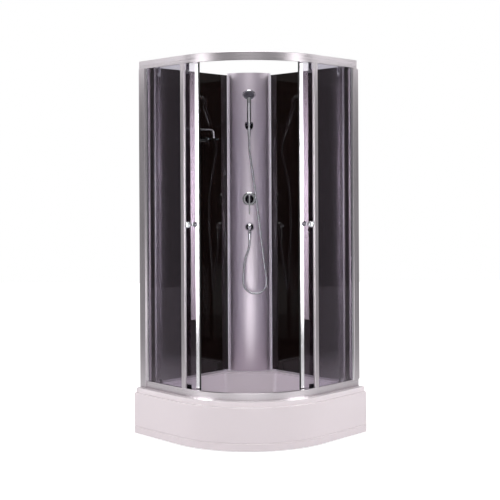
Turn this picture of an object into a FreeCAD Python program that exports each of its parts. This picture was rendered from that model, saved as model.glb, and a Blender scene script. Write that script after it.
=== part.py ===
import FreeCAD, Part
import math
import os

# Corner shower cabin with a quadrant tray, two curved sliding doors, two fixed
# side panes, dark glass back panels and a bowed corner column that carries the
# mixer and the hand shower. Millimetres, +Z up.
#
# Everything is laid out in a corner frame: u runs along the left wall, v along
# the right wall, both away from the room corner, and z up from the floor. At the
# end each shape is turned so that the front faces -Y and the corner lies at +Y.
# A plain "s" is a distance inwards from the outer face of the rails.

V = FreeCAD.Vector
Z = V(0, 0, 1)
ORIGIN = V(0, 0, 0)

# ---- tray -----------------------------------------------------------------
tray_width = 900.0           # along each wall
tray_return = 350.0          # straight front return, before the quarter round
tray_rim_top = 256.0
tray_rim_height = 26.0       # the visible band of the rim
tray_wall = 5.0
tray_shelf = 6.0             # thickness of the rim's flat top
wall_ledge_width = 34.0
wall_ledge_top = 262.0
wall_ledge_gap = 3.0         # between its end and the bottom rail
column_platform = 290.0      # the raised corner under the column, along each wall
basin_back = 46.0            # basin edge from the walls
basin_front = 95.0           # basin edge from the rim's front
basin_corner_cut = 262.0     # where the basin's cut corner meets the back edges
basin_slope = 34.0           # how far the basin wall leans in
basin_floor = 112.0
basin_corner_round = 40.0
basin_floor_round = 26.0
drain_place = 396.0          # u and v of the drain
drain_hole = 90.0

# ---- apron, frame and feet --------------------------------------------------
apron_proud = 13.0
apron_return = 361.5
apron_bottom = 6.0
apron_wall = 4.0
apron_flange = 34.0
plinth_groove_height = 45.0
plinth_groove = 3.0
tube_size = 25.0
tube_wall = 2.0
tube_near = 180.0            # tubes along the back
tube_far = 600.0             # tubes along the front
tube_start = 60.0
tube_end = 780.0
foot_back = 300.0            # back feet, along the near tubes
foot_side = 740.0
foot_rod_radius = 6.0
foot_pad_radius = 25.0
foot_pad_height = 14.0
foot_nut_across = 19.0
foot_nut_height = 10.0
clip_lap = 15.0              # how far a clip lies under its tube
clip_thick = 3.0
clip_height = 45.0           # up the back of the apron

# ---- waste ------------------------------------------------------------------
waste_flange_radius = 56.0
waste_body_radius = 44.0
waste_seat = 3.0
trap_bottom = 22.0
outlet_pipe_radius = 25.0
outlet_pipe_wall = 3.0
outlet_pipe_height = 50.0
outlet_pipe_end = 60.0       # distance of the open end from the room corner
outlet_spigot = 55.0         # the stretch that enters the drain's socket
outlet_collar = 5.0          # height and width of the stop collar behind it
trap_joint = 2.0             # the body meets the trap this far above the pipe
cover_radius = 52.0
cover_height = 12.0

# ---- rails and side frame -----------------------------------------------------
rail_width = 869.0           # outer face of the rails, from the wall
rail_depth = 52.0
bottom_rail_height = 39.0
top_rail_bottom = 2034.0
top_rail_height = 44.0
rail_wall = 2.5
rail_box = 16.0              # outer chamber that holds the fixed glass
ledge_height = 15.0          # roller track above the top rail's underside
ledge_edge = 24.5            # the track's inner edge
rail_lip_room = 8.0          # the rail's inner lip over the door glass
panel_room = 0.5             # and over the back panels
bottom_rail_drop = 6.0       # its inner edge, below the door glass
bottom_rail_gap = 2.0        # between its right end and the back panel
seat_depth = 23.0            # the fixed pane's foot in the bottom rail
post_start = {"left": 2.0, "right": 16.0}    # from the wall
post_end = {"left": 50.0, "right": 46.0}
post_face = {"left": 874.0, "right": 869.0}
post_inner = 828.0
post_wall = 2.0
wall_channel_depth = 30.0
wall_channel_gap = 0.4       # inside the post
wall_channel_short = 4.0     # below the top rail
edge_strip_depth = 16.0
stile_start = 344.0
stile_width = 31.0
stile_face = 2.0
stile_depth = 14.0
fixed_glass_offset = 5.0
fixed_glass = 6.0
glass_pocket = 13.0

# ---- back panels and column -----------------------------------------------------
panel_back = 4.0
panel_glass = 6.0
panel_over = 19.0            # above the top rail's underside
panel_start = 150.0
trim_wall = 1.5
trim_height = 8.0
trim_gap = 2.0               # between the trim and the column's strip
column_edge = 193.7          # along each wall
column_bow = 43.0
column_wall = 3.0
column_over = 30.0           # above the top rail's underside
column_strip_width = 13.0
column_strip_thick = 2.0
column_strip_foot = 6.0      # along the back panel
brace_places = (0.09, 0.4, 0.72, 0.97)     # shares of the column's height
brace_thick = 3.0
brace_depth = 34.0
brace_reach = 40.0           # past the column's edge, along the wall

# ---- doors ------------------------------------------------------------------
door_offset = 34.0           # s of the door glass
door_glass = 5.0
door_angle = 45.4            # arc of a whole door, with its seal
door_rise = 32.0             # the door's foot above the tray's rim
door_over = 10.0             # above the top rail's underside
roller_inset = 75.0          # along the arc, from each edge
seal_width = 6.0
lead_stile_width = 18.0
trail_stile_width = 20.0
door_stile_depth = 11.0
open_angle = 2.07            # leading roller on the round, past the straight
roller_radius = 11.0
roller_width = 8.0
roller_s = 20.0
roller_play = 0.3
glass_play = 0.4             # between the bent glass and the flat pieces on it
stile_overlap = 9.0          # how far a stile's slot takes in the glass
seal_gap = 0.3               # half the gap between the two closed doors
axle_radius = 3.0
axle_play = 0.05
axle_end = 0.5               # past the roller's outer face
arm_width = 20.0
arm_thick = 2.5
arm_gap = 1.4                # a washer's room between the arm and the glass
arm_drop = 62.0
arm_screw = 14.0             # the screw's middle above the arm's foot
arm_screw_head = 3.0
arm_above_axle = 7.0
guide_width = 6.0
guide_length = 30.0
guide_play = 1.0             # over the rail's floor and over its inner edge
guide_clamp_thick = 4.0
guide_clamp_height = 24.0    # up the glass
knob_height = 1172.0
knob_from_edge = 47.0
knob_radius = 17.0
knob_reach = 54.5
knob_head = 20.5             # depth of the knob itself
knob_stem_radius = 4.5
knob_bolt_radius = 4.0
knob_plate_half = 40.0       # half the spindle plate's height
knob_plate_wide = 12.0       # half its width
knob_plate_thick = 3.0

# ---- mixer, outlet and hand shower --------------------------------------------------
mixer_height = 1301.0
pipe_lane = 42.0             # the pipes' depth behind the column's front
mixer_rear = 58.0            # the body's back, behind the column's front
mixer_neck_radius = 22.0
mixer_flange = 9.0           # wider than the neck, clamped behind the column
mixer_flange_thick = 12.0
neck_reach = 2.0             # how far the necks stand out of the column
neck_play = 0.5
escutcheon_radius = 41.0
escutcheon_depth = 8.0
mixer_cap_radius = 27.0
mixer_cap_depth = 22.0
mixer_cap_play = 0.3
cartridge_radius = 14.0
cartridge_depth = 4.5
cartridge_play = 0.05
lever_width = 7.0
lever_play = 0.4
lever_down = 92.0
lever_pivot_depth = 15.0     # in front of the column
lever_pin_radius = 2.5
lever_pin_half = 14.0
lever_pin_play = 0.05
inlet_spread = 42.0
inlet_radius = 10.48
inlet_length = 16.0
inlet_shoulder = 16.0
inlet_wall = 2.0
feed_top = 34.0              # below the mixer's middle
feed_radius = 6.0
feed_boss_radius = 9.0
outlet_drop = 168.0          # below the mixer's middle
outlet_radius = 27.5
outlet_depth = 38.0
outlet_neck_radius = 10.0
outlet_neck_play = 0.1
outlet_joint = 14.0          # the feed pipe's end above the outlet's middle
outlet_reach = 20.0          # the hose's axis in front of the column
spigot_radius = 9.5
dome_foot = 3.0
dome_flat = 2.5
hose_radius = 6.5
nut_length = 49.0
holder_rise = 443.0          # above the mixer's middle
holder_reach = 62.0
holder_ring = 24.0
holder_half = 16.0           # half the ring's height
holder_base_radius = 24.0
holder_base_depth = 7.0
holder_arm_radius = 11.0
holder_mouth = 18.0          # width of the ring's open front
handle_lean = 18.0
handle_low = -40.0           # the handle's end, below the holder along the handle
handle_length = 162.0
grip_length = 44.0           # the tapered stretch that sits in the holder
grip_low_radius = 10.6
grip_top_radius = 12.2
neck_radius = 11.4           # the handle below the head
holder_play = 0.3
head_radius = 39.0
head_thick = 20.0
head_tilt = 52.0             # the spray face looks this far below level
head_rise = 173.0            # above the holder
head_back_radius = 12.0      # the head's back, then its bell, shoulder and edge
head_bell_radius = 26.0
head_bell_rise = 4.0
head_shoulder_radius = 35.0
head_shoulder_rise = 10.0
head_edge = 5.0
head_lip = 1.0
head_chamfer = 1.5
neck_sunk = 4.0              # the neck starts this far inside the handle
neck_straight = 14.0
neck_joint_back = 11.0       # where the neck turns into the head
neck_joint_below = 20.0
neck_joint_radius = 14.0
neck_root_back = 12.0
neck_root_radius = 9.0
face_radius = 33.0
face_play = 0.1
face_depth = 3.0
face_proud = 1.2
handset_nut_length = 28.0

# ---- glass shelf ------------------------------------------------------------------
shelf_start = 360.0
shelf_end = 660.0
shelf_reach = 115.0
shelf_top = 1660.0
shelf_glass = 8.0
shelf_rail_rise = 48.0       # above the shelf's glass
shelf_rail_start = 400.0
shelf_rail_end = 630.0
shelf_rail_inset = 9.0
shelf_rail_radius = 4.0
shelf_rail_bend = 18.0
shelf_bracket_places = (395.0, 617.0)
shelf_bracket_width = 24.0
shelf_bracket_reach = 34.0
shelf_bracket_below = 11.0
shelf_bracket_above = 5.0
shelf_bracket_round = 8.0
shelf_gap = 1.0              # between the shelf's glass and the back panel
shelf_round = 12.0
shelf_rail_foot = 4.0        # height of its feet
shelf_rail_foot_rim = 3.0    # how much wider they are than the bar

# ---- worked-out places ----------------------------------------------------------------
ROOT2 = math.sqrt(2.0)
apron_width = tray_width + apron_proud
corner_y = (apron_return * ROOT2 + apron_width - apron_return) / 2.0
bottom_rail_top = tray_rim_top + bottom_rail_height
top_rail_top = top_rail_bottom + top_rail_height
panel_top = top_rail_bottom + panel_over
column_top = top_rail_bottom + column_over
door_bottom = tray_rim_top + door_rise
door_top = top_rail_bottom + door_over
outlet_height = mixer_height - outlet_drop
holder_height = mixer_height + holder_rise
head_height = holder_height + head_rise
shelf_rail_height = shelf_top + shelf_rail_rise
panel_face = panel_back + panel_glass
panel_end = post_inner
chord_depth = (column_edge + panel_face) / ROOT2
half_chord = (column_edge - panel_face) / ROOT2
column_radius = (half_chord ** 2 + column_bow ** 2) / (2.0 * column_bow)
column_front = chord_depth + column_bow
column_centre = column_front - column_radius
door_line = rail_width - door_offset
door_radius = door_line - tray_return
door_half = door_angle / 2.0
pipe_depth = column_front - pipe_lane


# ---- small helpers ------------------------------------------------------------------
def box(u0, u1, v0, v1, z0, z1):
    return Part.makeBox(u1 - u0, v1 - v0, z1 - z0, V(u0, v0, z0))


def fused(shapes):
    whole = shapes[0]
    if len(shapes) > 1:
        whole = shapes[0].multiFuse(shapes[1:])
    return whole.removeSplitter()


def turned(shape, angle, centre=ORIGIN, axis=Z):
    copy = shape.copy()
    copy.rotate(centre, axis, angle)
    return copy


def moved(shape, vector):
    copy = shape.copy()
    copy.translate(vector)
    return copy


def swapped(shape):
    """The same piece on the other wall: u and v change places."""
    return shape.mirror(ORIGIN, V(1, -1, 0))


def rod(start, end, radius):
    line = end.sub(start)
    return Part.makeCylinder(radius, line.Length, start, line)


def revolved(points, centre, axis, across):
    """Turn a closed outline of (radius, height) about an axis through centre."""
    placed = [centre.add(V(across).multiply(r)).add(V(axis).multiply(h)) for r, h in points]
    face = Part.Face(Part.makePolygon(placed + [placed[0]]))
    return face.revolve(centre, axis, 360.0)


def rounded_wire(corners, radii, z):
    """A closed outline through the corners, each rounded by its own radius."""
    count = len(corners)
    edges = []
    starts = []
    ends = []
    for i in range(count):
        here = V(corners[i][0], corners[i][1], z)
        before = V(corners[i - 1][0], corners[i - 1][1], z)
        after = V(corners[(i + 1) % count][0], corners[(i + 1) % count][1], z)
        back = before.sub(here).normalize()
        on = after.sub(here).normalize()
        if radii[i] == 0:
            starts.append(here)
            ends.append(here)
            continue
        half = back.getAngle(on) / 2.0
        reach = radii[i] / math.tan(half)
        middle = V(back).add(on).normalize()
        start = here.add(V(back).multiply(reach))
        end = here.add(V(on).multiply(reach))
        top = here.add(V(middle).multiply(radii[i] / math.sin(half) - radii[i]))
        edges.append((i, Part.Arc(start, top, end).toShape()))
        starts.append(start)
        ends.append(end)
    arcs = dict(edges)
    chain = []
    for i in range(count):
        if i in arcs:
            chain.append(arcs[i])
        following = starts[(i + 1) % count]
        if ends[i].distanceToPoint(following) > 1e-6:
            chain.append(Part.LineSegment(ends[i], following).toShape())
    return Part.Wire(chain)


def slab(corners, radii, z0, z1):
    return Part.Face(rounded_wire(corners, radii, z0)).extrude(V(0, 0, z1 - z0))


def quadrant(width, front_round, back, z0, z1):
    """A plate with the tray's plan: square at the walls, round in front."""
    corners = [(back, back), (width, back), (width, width), (back, width)]
    return slab(corners, [0, 0, front_round, 0], z0, z1)


def swept(points, width, straight, start_left, start_right):
    """Run a section of (s, z) points along the front: straight, round, straight."""
    def section(place):
        wire = Part.makePolygon([place(s, z) for s, z in points + points[:1]])
        return Part.Face(wire)
    centre = V(straight, straight, 0)
    left = section(lambda s, z: V(width - s, start_left, z))
    right = section(lambda s, z: V(start_right, width - s, z))
    middle = section(lambda s, z: V(width - s, straight, z))
    return fused([
        left.extrude(V(0, straight - start_left, 0)),
        middle.revolve(centre, Z, 90.0),
        right.extrude(V(straight - start_right, 0, 0)),
    ])


def arc_plate(centre, inner, outer, first, last, z0, z1):
    """A curved plate between two radii and two angles, in degrees."""
    def at(radius, angle):
        return centre.add(V(radius * math.cos(math.radians(angle)),
                            radius * math.sin(math.radians(angle)), z0))
    middle = (first + last) / 2.0
    edges = [
        Part.Arc(at(outer, first), at(outer, middle), at(outer, last)).toShape(),
        Part.LineSegment(at(outer, last), at(inner, last)).toShape(),
        Part.Arc(at(inner, last), at(inner, middle), at(inner, first)).toShape(),
        Part.LineSegment(at(inner, first), at(outer, first)).toShape(),
    ]
    return Part.Face(Part.Wire(edges)).extrude(V(0, 0, z1 - z0))


def on_diagonal(depth, height):
    """A point in the cabin's middle plane, so far out from the room corner."""
    return V(depth / ROOT2, depth / ROOT2, height)


FORWARD = V(1, 1, 0).normalize()    # from the room corner to the doorway
SIDEWAYS = V(1, -1, 0).normalize()  # to the left, as seen from the doorway


# ---- tray and what holds it ---------------------------------------------------------
def basin_wire(inset, z, grow=0.0):
    near = basin_back + inset - grow
    cut = basin_corner_cut + (inset - grow) * (ROOT2 - 1.0)
    far = tray_width - basin_front - inset + grow
    front = far - tray_return
    corners = [(near, cut), (cut, near), (far, near), (far, far), (near, far)]
    turn = basin_corner_round
    return rounded_wire(corners, [turn, turn, turn, front, turn], z)


def make_tray():
    front_round = tray_width - tray_return
    under = tray_rim_top - tray_shelf
    bottom = tray_rim_top - tray_rim_height
    inner = tray_width - tray_wall
    rim = quadrant(tray_width, front_round, 0, bottom, tray_rim_top)
    rim = rim.cut(quadrant(inner, front_round - tray_wall, tray_wall, bottom, under))
    ledge_end = rail_width - rail_depth - wall_ledge_gap
    corner = [(0, 0), (column_platform, 0), (0, column_platform)]
    ledge = fused([
        box(0, ledge_end, 0, wall_ledge_width, tray_rim_top, wall_ledge_top),
        box(0, wall_ledge_width, 0, ledge_end, tray_rim_top, wall_ledge_top),
        slab(corner, [0, 0, 0], tray_rim_top, wall_ledge_top),
    ])
    outer_low = basin_floor - tray_wall
    bowl = Part.makeLoft([basin_wire(0, under, tray_wall),
                          basin_wire(basin_slope, outer_low, tray_wall)], True, True)
    hollow = Part.makeLoft([basin_wire(0, tray_rim_top), basin_wire(basin_slope, basin_floor)],
                           True, True)
    low_edges = [e for e in hollow.Edges if abs(e.BoundBox.ZMax - basin_floor) < 0.01]
    hollow = hollow.makeFillet(basin_floor_round, low_edges)
    tray = fused([rim, ledge, bowl]).cut(hollow)
    drain = Part.makeCylinder(drain_hole / 2.0, 3.0 * tray_wall,
                              V(drain_place, drain_place, basin_floor - 2.0 * tray_wall))
    return tray.cut(drain)


def make_apron():
    low = plinth_groove_height - plinth_groove * 1.2
    high = plinth_groove_height + plinth_groove * 1.2
    dent = plinth_groove
    wall = apron_wall
    top = tray_rim_top - tray_rim_height
    section = [
        (0, apron_bottom), (wall, apron_bottom), (wall, low - 1), (wall + dent, low + dent),
        (wall + dent, high - dent), (wall, high + 1), (wall, top - wall),
        (apron_flange, top - wall), (apron_flange, top), (wall / 2.0, top), (0, top - wall / 2.0),
        (0, high), (dent, high - dent), (dent, low + dent), (0, low),
    ]
    return swept(section, apron_width, apron_return, 0.0, 0.0)


def tube_top():
    return basin_floor - tray_wall


def make_tray_frame():
    top = tube_top()
    low = top - tube_size
    half = tube_size / 2.0
    solid = []
    hollow = []
    for place in (tube_near, tube_far):
        solid.append(box(tube_start, tube_end, place - half, place + half, low, top))
        solid.append(box(place - half, place + half, tube_start, tube_end, low, top))
        near = half - tube_wall
        hollow.append(box(tube_start, tube_end, place - near, place + near,
                          low + tube_wall, top - tube_wall))
        hollow.append(box(place - near, place + near, tube_start, tube_end,
                          low + tube_wall, top - tube_wall))
    return fused(solid).cut(fused(hollow))


def foot_places():
    return ((foot_back, tube_near), (tube_near, foot_back), (foot_side, tube_near),
            (tube_near, foot_side), (tube_far, tube_far))


def make_feet():
    rods = []
    pads = []
    nuts = []
    tube_low = tube_top() - tube_size
    nut_radius = foot_nut_across / math.sqrt(3.0)
    for u, v in foot_places():
        foot = V(u, v, 0)
        rods.append(Part.makeCylinder(foot_rod_radius, tube_low - foot_pad_height,
                                      V(u, v, foot_pad_height)))
        pads.append(revolved([(0, 0), (foot_pad_radius, 0), (foot_pad_radius, 4),
                              (foot_rod_radius + 5, foot_pad_height), (0, foot_pad_height)],
                             foot, Z, V(1, 0, 0)))
        ring = [V(u + nut_radius * math.cos(math.radians(60 * i)),
                  v + nut_radius * math.sin(math.radians(60 * i)),
                  tube_low - foot_nut_height) for i in range(6)]
        nut = Part.Face(Part.makePolygon(ring + ring[:1])).extrude(V(0, 0, foot_nut_height))
        nuts.append(nut.cut(rods[-1]))
    return rods, pads, nuts


def make_apron_clips():
    """Angle brackets from the tubes' ends to the back of the apron."""
    top = tube_top() - tube_size
    face = apron_width - apron_wall
    half = tube_size / 2.0
    start = tube_end - clip_lap
    low = top - clip_thick
    high = top + clip_height
    plate = box(start, face, tube_near - half, tube_near + half, low, top)
    stand = box(face - clip_thick, face, tube_near - half, tube_near + half, top, high)
    side = fused([plate, stand])
    centre = V(apron_return, apron_return, 0)
    reach = face - apron_return
    room = Part.makeCylinder(reach, top, centre)
    bar = box(start, face, tube_far - half, tube_far + half, low, top).common(room)
    angle = math.degrees(math.asin((tube_far - apron_return) / reach))
    spread = math.degrees(half / reach)
    stand = arc_plate(centre, reach - clip_thick, reach, angle - spread, angle + spread, low, high)
    front = fused([bar, stand])
    return [side, swapped(side), front, swapped(front)]


# ---- waste ------------------------------------------------------------------------
def drain_point(z):
    return V(drain_place, drain_place, z)


def make_waste():
    """A flanged strainer body through the drain hole, and the trap below it."""
    seat = basin_floor + waste_seat
    neck = waste_body_radius
    wall = outlet_pipe_wall
    joint = outlet_pipe_height + outlet_pipe_radius + trap_joint
    body = revolved([(neck - wall, joint), (neck, joint), (neck, basin_floor),
                     (waste_flange_radius, basin_floor), (waste_flange_radius, seat - 1),
                     (waste_flange_radius - 1, seat), (neck - wall, seat)],
                    drain_point(0), Z, V(1, 0, 0))
    depth = drain_place * ROOT2
    far = on_diagonal(outlet_pipe_end, outlet_pipe_height)
    near = on_diagonal(depth, outlet_pipe_height)
    cup = Part.makeCylinder(neck, joint - trap_bottom, drain_point(trap_bottom))
    collar_end = outlet_pipe_end + outlet_spigot
    collar = rod(on_diagonal(collar_end, outlet_pipe_height),
                 on_diagonal(collar_end + outlet_collar, outlet_pipe_height),
                 outlet_pipe_radius + outlet_collar)
    cup = fused([cup, rod(near, far, outlet_pipe_radius), collar])
    hollow = Part.makeCylinder(neck - wall, joint - trap_bottom, drain_point(trap_bottom + wall))
    bore = rod(near, far, outlet_pipe_radius - wall)
    return body, cup.cut(hollow).cut(bore)


def make_waste_cover():
    seat = basin_floor + waste_seat
    top = seat + cover_height
    dish = revolved([(0, top - 3), (cover_radius - 8, top - 5), (cover_radius - 3, seat),
                     (cover_radius, seat), (cover_radius - 4, top - 3), (cover_radius - 12, top),
                     (0, top + 1)],
                    drain_point(0), Z, V(1, 0, 0))
    return dish


# ---- rails and side frame ---------------------------------------------------------
def make_bottom_rail():
    low = tray_rim_top
    top = bottom_rail_top
    wall = rail_wall
    seat = top - seat_depth
    inner = fixed_glass_offset + fixed_glass
    track = rail_depth - wall
    inner_top = door_bottom - bottom_rail_drop
    section = [
        (0, low), (wall, low), (wall, low + glass_pocket), (rail_box - wall, low + glass_pocket),
        (rail_box - wall, low), (rail_depth, low), (rail_depth, inner_top), (track, inner_top),
        (track, low + wall), (rail_box, low + wall), (rail_box, top), (inner, top),
        (inner, seat), (fixed_glass_offset, seat), (fixed_glass_offset, top), (1.5, top),
        (0, top - 1.5),
    ]
    return swept(section, rail_width, tray_return, post_end["left"], panel_face + bottom_rail_gap)


def make_top_rail():
    low = top_rail_bottom
    top = top_rail_top
    wall = rail_wall
    track = low + ledge_height
    inner = fixed_glass_offset + fixed_glass
    lip = max(door_top + rail_lip_room, panel_top + panel_room)
    section = [
        (0, low), (fixed_glass_offset, low), (fixed_glass_offset, track), (inner, track),
        (inner, low), (inner + wall, low), (inner + wall, track), (ledge_edge, track),
        (ledge_edge, track + wall), (wall, track + wall), (wall, top - wall),
        (rail_depth - wall, top - wall), (rail_depth - wall, lip),
        (rail_depth, lip), (rail_depth, top - 1.0), (rail_depth - 1.0, top),
        (1.5, top), (0, top - 1.5),
    ]
    return swept(section, rail_width, tray_return, 0.0, post_start["right"])


def side_base(side):
    """The left post stands on the tray, the right one on the bottom rail."""
    return tray_rim_top if side == "left" else bottom_rail_top


def upright(points, z0, z1):
    corners = [V(u, v, z0) for u, v in points]
    return Part.Face(Part.makePolygon(corners + corners[:1])).extrude(V(0, 0, z1 - z0))


def make_side_post(side):
    """A channel open towards the wall, slid over the wall channel."""
    near = post_start[side]
    far = post_end[side]
    face = post_face[side]
    wall = post_wall
    points = [(post_inner, near), (post_inner + wall, near), (post_inner + wall, far - wall),
              (face - wall, far - wall), (face - wall, near), (face, near), (face, far - 1.5),
              (face - 1.5, far), (post_inner, far)]
    return upright(points, side_base(side), top_rail_bottom)


def make_wall_channel(side):
    low = post_inner + post_wall + wall_channel_gap
    high = post_face[side] - post_wall - wall_channel_gap
    wall = post_wall
    deep = wall_channel_depth
    points = [(low, 0), (high, 0), (high, deep), (high - wall, deep), (high - wall, wall),
              (low + wall, wall), (low + wall, deep), (low, deep)]
    return upright(points, side_base(side), top_rail_bottom - wall_channel_short)


def glass_faces():
    outer = rail_width - fixed_glass_offset
    return outer - fixed_glass, outer


def make_edge_strip(side):
    """The slim profile on the post that grips the fixed pane's edge."""
    inner, outer = glass_faces()
    start = post_end[side]
    end = start + edge_strip_depth
    lip = rail_wall
    points = [(inner - lip, start), (outer + lip, start), (outer + lip, end), (outer, end),
              (outer, start + lip), (inner, start + lip), (inner, end), (inner - lip, end)]
    return upright(points, bottom_rail_top, top_rail_bottom)


def make_fixed_glass(side):
    inner, outer = glass_faces()
    low = bottom_rail_top - seat_depth
    high = top_rail_bottom + ledge_height
    return box(inner, outer, post_end[side] + rail_wall, tray_return, low, high)


def make_fixed_stile():
    inner, outer = glass_faces()
    face = rail_width - stile_face
    back = rail_width - stile_depth
    end = stile_start + stile_width
    stile = box(back, face, stile_start, end, bottom_rail_top, top_rail_bottom)
    edges = [e for e in stile.Edges if abs(e.BoundBox.XMin - face) < 0.01 and e.BoundBox.ZLength > 9]
    stile = stile.makeFillet(3.0, edges)
    return stile.cut(box(inner, outer, stile_start, tray_return, bottom_rail_top, top_rail_bottom))


# ---- back panels and column -------------------------------------------------------
def make_back_panel():
    return box(panel_start, panel_end, panel_back, panel_face, wall_ledge_top + trim_wall, panel_top)


def make_panel_trim():
    low = wall_ledge_top
    high = low + trim_height
    wall = trim_wall
    points = [(panel_back - wall, low), (panel_face + wall, low), (panel_face + wall, high),
              (panel_face, high), (panel_face, low + wall), (panel_back, low + wall),
              (panel_back, high), (panel_back - wall, high)]
    start = column_edge + column_strip_foot + trim_gap
    corners = [V(start, v, z) for v, z in points]
    face = Part.Face(Part.makePolygon(corners + corners[:1]))
    return face.extrude(V(panel_end - start, 0, 0))


def column_axis(height):
    return on_diagonal(column_centre, height)


def column_half_angle():
    return math.degrees(math.asin(half_chord / column_radius))


def behind_column():
    """The room behind the column's skin, for what is cut to fit it."""
    height = column_top - wall_ledge_top
    return Part.makeCylinder(column_radius - column_wall, height, column_axis(wall_ledge_top))


def in_front_of_column(shape):
    """Cut a fitting's back so that it seats on the bowed skin."""
    height = column_top - wall_ledge_top
    return shape.cut(Part.makeCylinder(column_radius, height, column_axis(wall_ledge_top)))


def make_column():
    half = column_half_angle()
    skin = arc_plate(column_axis(0), column_radius - column_wall, column_radius,
                     45.0 - half, 45.0 + half, wall_ledge_top, column_top)
    past = column_front + column_wall
    mixer_hole = rod(on_diagonal(chord_depth, mixer_height), on_diagonal(past, mixer_height),
                     mixer_neck_radius + neck_play)
    outlet_hole = rod(on_diagonal(chord_depth, outlet_height), on_diagonal(past, outlet_height),
                      outlet_neck_radius + neck_play)
    room = box(panel_face, 2.0 * column_edge, panel_face, 2.0 * column_edge,
               wall_ledge_top, column_top)
    return skin.common(room).cut(fused([mixer_hole, outlet_hole]))


def make_column_strip():
    """The bright strip that closes the joint of column and back panel."""
    half = column_half_angle()
    span = math.degrees(column_strip_width / column_radius)
    first = 45.0 - half
    strip = arc_plate(column_axis(0), column_radius, column_radius + column_strip_thick,
                      first, first + span, wall_ledge_top, column_top)
    foot = box(column_edge, column_edge + column_strip_foot,
               panel_face, panel_face + column_strip_thick, wall_ledge_top, panel_top)
    return fused([strip, foot])


def make_column_braces():
    far = column_edge + brace_reach
    room = box(panel_face, far, panel_face, far, wall_ledge_top, column_top)
    outer = column_radius - column_wall
    braces = []
    for share in brace_places:
        height = wall_ledge_top + share * (column_top - wall_ledge_top)
        plate = arc_plate(column_axis(0), outer - brace_depth, outer, 0.0, 90.0,
                          height, height + brace_thick)
        braces.append(plate.common(room))
    return braces


# ---- mixer and outlet ------------------------------------------------------------------
def along_diagonal(start, end, height, radius):
    return rod(on_diagonal(start, height), on_diagonal(end, height), radius)


def crosswise(point, half, radius):
    return rod(point.sub(V(SIDEWAYS).multiply(half)), point.add(V(SIDEWAYS).multiply(half)), radius)


def make_mixer_body():
    """The valve behind the column; its two threaded tails point at the room corner."""
    neck = along_diagonal(column_front - mixer_rear, column_front + neck_reach, mixer_height,
                          mixer_neck_radius)
    flange = along_diagonal(column_front - mixer_flange_thick, column_front, mixer_height,
                            mixer_neck_radius + mixer_flange)
    parts = [neck, flange.common(behind_column())]
    thick = inlet_radius + inlet_wall
    start = on_diagonal(pipe_depth, mixer_height)
    for way in (-1.0, 1.0):
        elbow = start.add(V(SIDEWAYS).multiply(way * inlet_spread))
        shoulder = elbow.sub(V(FORWARD).multiply(inlet_shoulder))
        tail = shoulder.sub(V(FORWARD).multiply(inlet_length))
        parts.append(rod(start, elbow, thick))
        parts.append(Part.makeSphere(thick, elbow))
        parts.append(rod(elbow, shoulder, thick))
        parts.append(rod(shoulder, tail, inlet_radius))
    parts.append(rod(start, on_diagonal(pipe_depth, mixer_height - feed_top), feed_boss_radius))
    return fused(parts)


def make_feed_pipe():
    return rod(on_diagonal(pipe_depth, mixer_height - feed_top),
               on_diagonal(pipe_depth, outlet_height + outlet_joint), feed_radius)


def make_outlet_elbow():
    corner = on_diagonal(pipe_depth, outlet_height)
    return fused([
        rod(on_diagonal(pipe_depth, outlet_height + outlet_joint), corner, feed_boss_radius),
        Part.makeSphere(outlet_neck_radius, corner),
        along_diagonal(pipe_depth, column_front + neck_reach, outlet_height, outlet_neck_radius),
    ])


def dome(radius, depth, start):
    """A round cap turned about the forward axis, on a short straight foot."""
    base = on_diagonal(start, 0)
    rise = depth - dome_foot
    edge = V(SIDEWAYS)
    axis = V(FORWARD)
    share = math.sqrt(0.5)
    a = base
    b = base.add(V(edge).multiply(radius))
    c = b.add(V(axis).multiply(dome_foot))
    mid = base.add(V(edge).multiply(radius * share)).add(V(axis).multiply(dome_foot + rise * share))
    top = base.add(V(axis).multiply(depth))
    rim = top.add(V(edge).multiply(dome_flat))
    wire = Part.Wire([Part.LineSegment(a, b).toShape(), Part.LineSegment(b, c).toShape(),
                      Part.Arc(c, mid, rim).toShape(), Part.LineSegment(rim, top).toShape(),
                      Part.LineSegment(top, a).toShape()])
    return Part.Face(wire).revolve(base, axis, 360.0)


def outlet_lane():
    return column_front + outlet_reach


def hose_nut_top():
    return outlet_height - outlet_radius - 1.0


def make_outlet():
    """The domed elbow on the column; its spigot takes the hose's nut."""
    sunk = column_wall + 1.0
    shell = moved(dome(outlet_radius, outlet_depth + sunk, column_front - sunk),
                  V(0, 0, outlet_height))
    spigot = rod(on_diagonal(outlet_lane(), outlet_height),
                 on_diagonal(outlet_lane(), hose_nut_top()), spigot_radius)
    whole = in_front_of_column(fused([shell, spigot]))
    return whole.cut(along_diagonal(chord_depth, column_front + neck_reach, outlet_height,
                                    outlet_neck_radius + outlet_neck_play))


def make_escutcheon():
    sunk = 2.0 * column_wall
    deep = escutcheon_depth + sunk
    centre = on_diagonal(column_front - sunk, mixer_height)
    bore = mixer_cap_radius + mixer_cap_play
    plate = revolved([(bore, 0), (escutcheon_radius, 0), (escutcheon_radius, deep - 3),
                      (escutcheon_radius - 4, deep), (bore, deep)], centre, FORWARD, SIDEWAYS)
    return in_front_of_column(plate)


def lever_pivot():
    return on_diagonal(column_front + lever_pivot_depth, mixer_height)


def make_cartridge():
    start = column_front + neck_reach
    return along_diagonal(start, start + cartridge_depth, mixer_height, cartridge_radius)


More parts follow.
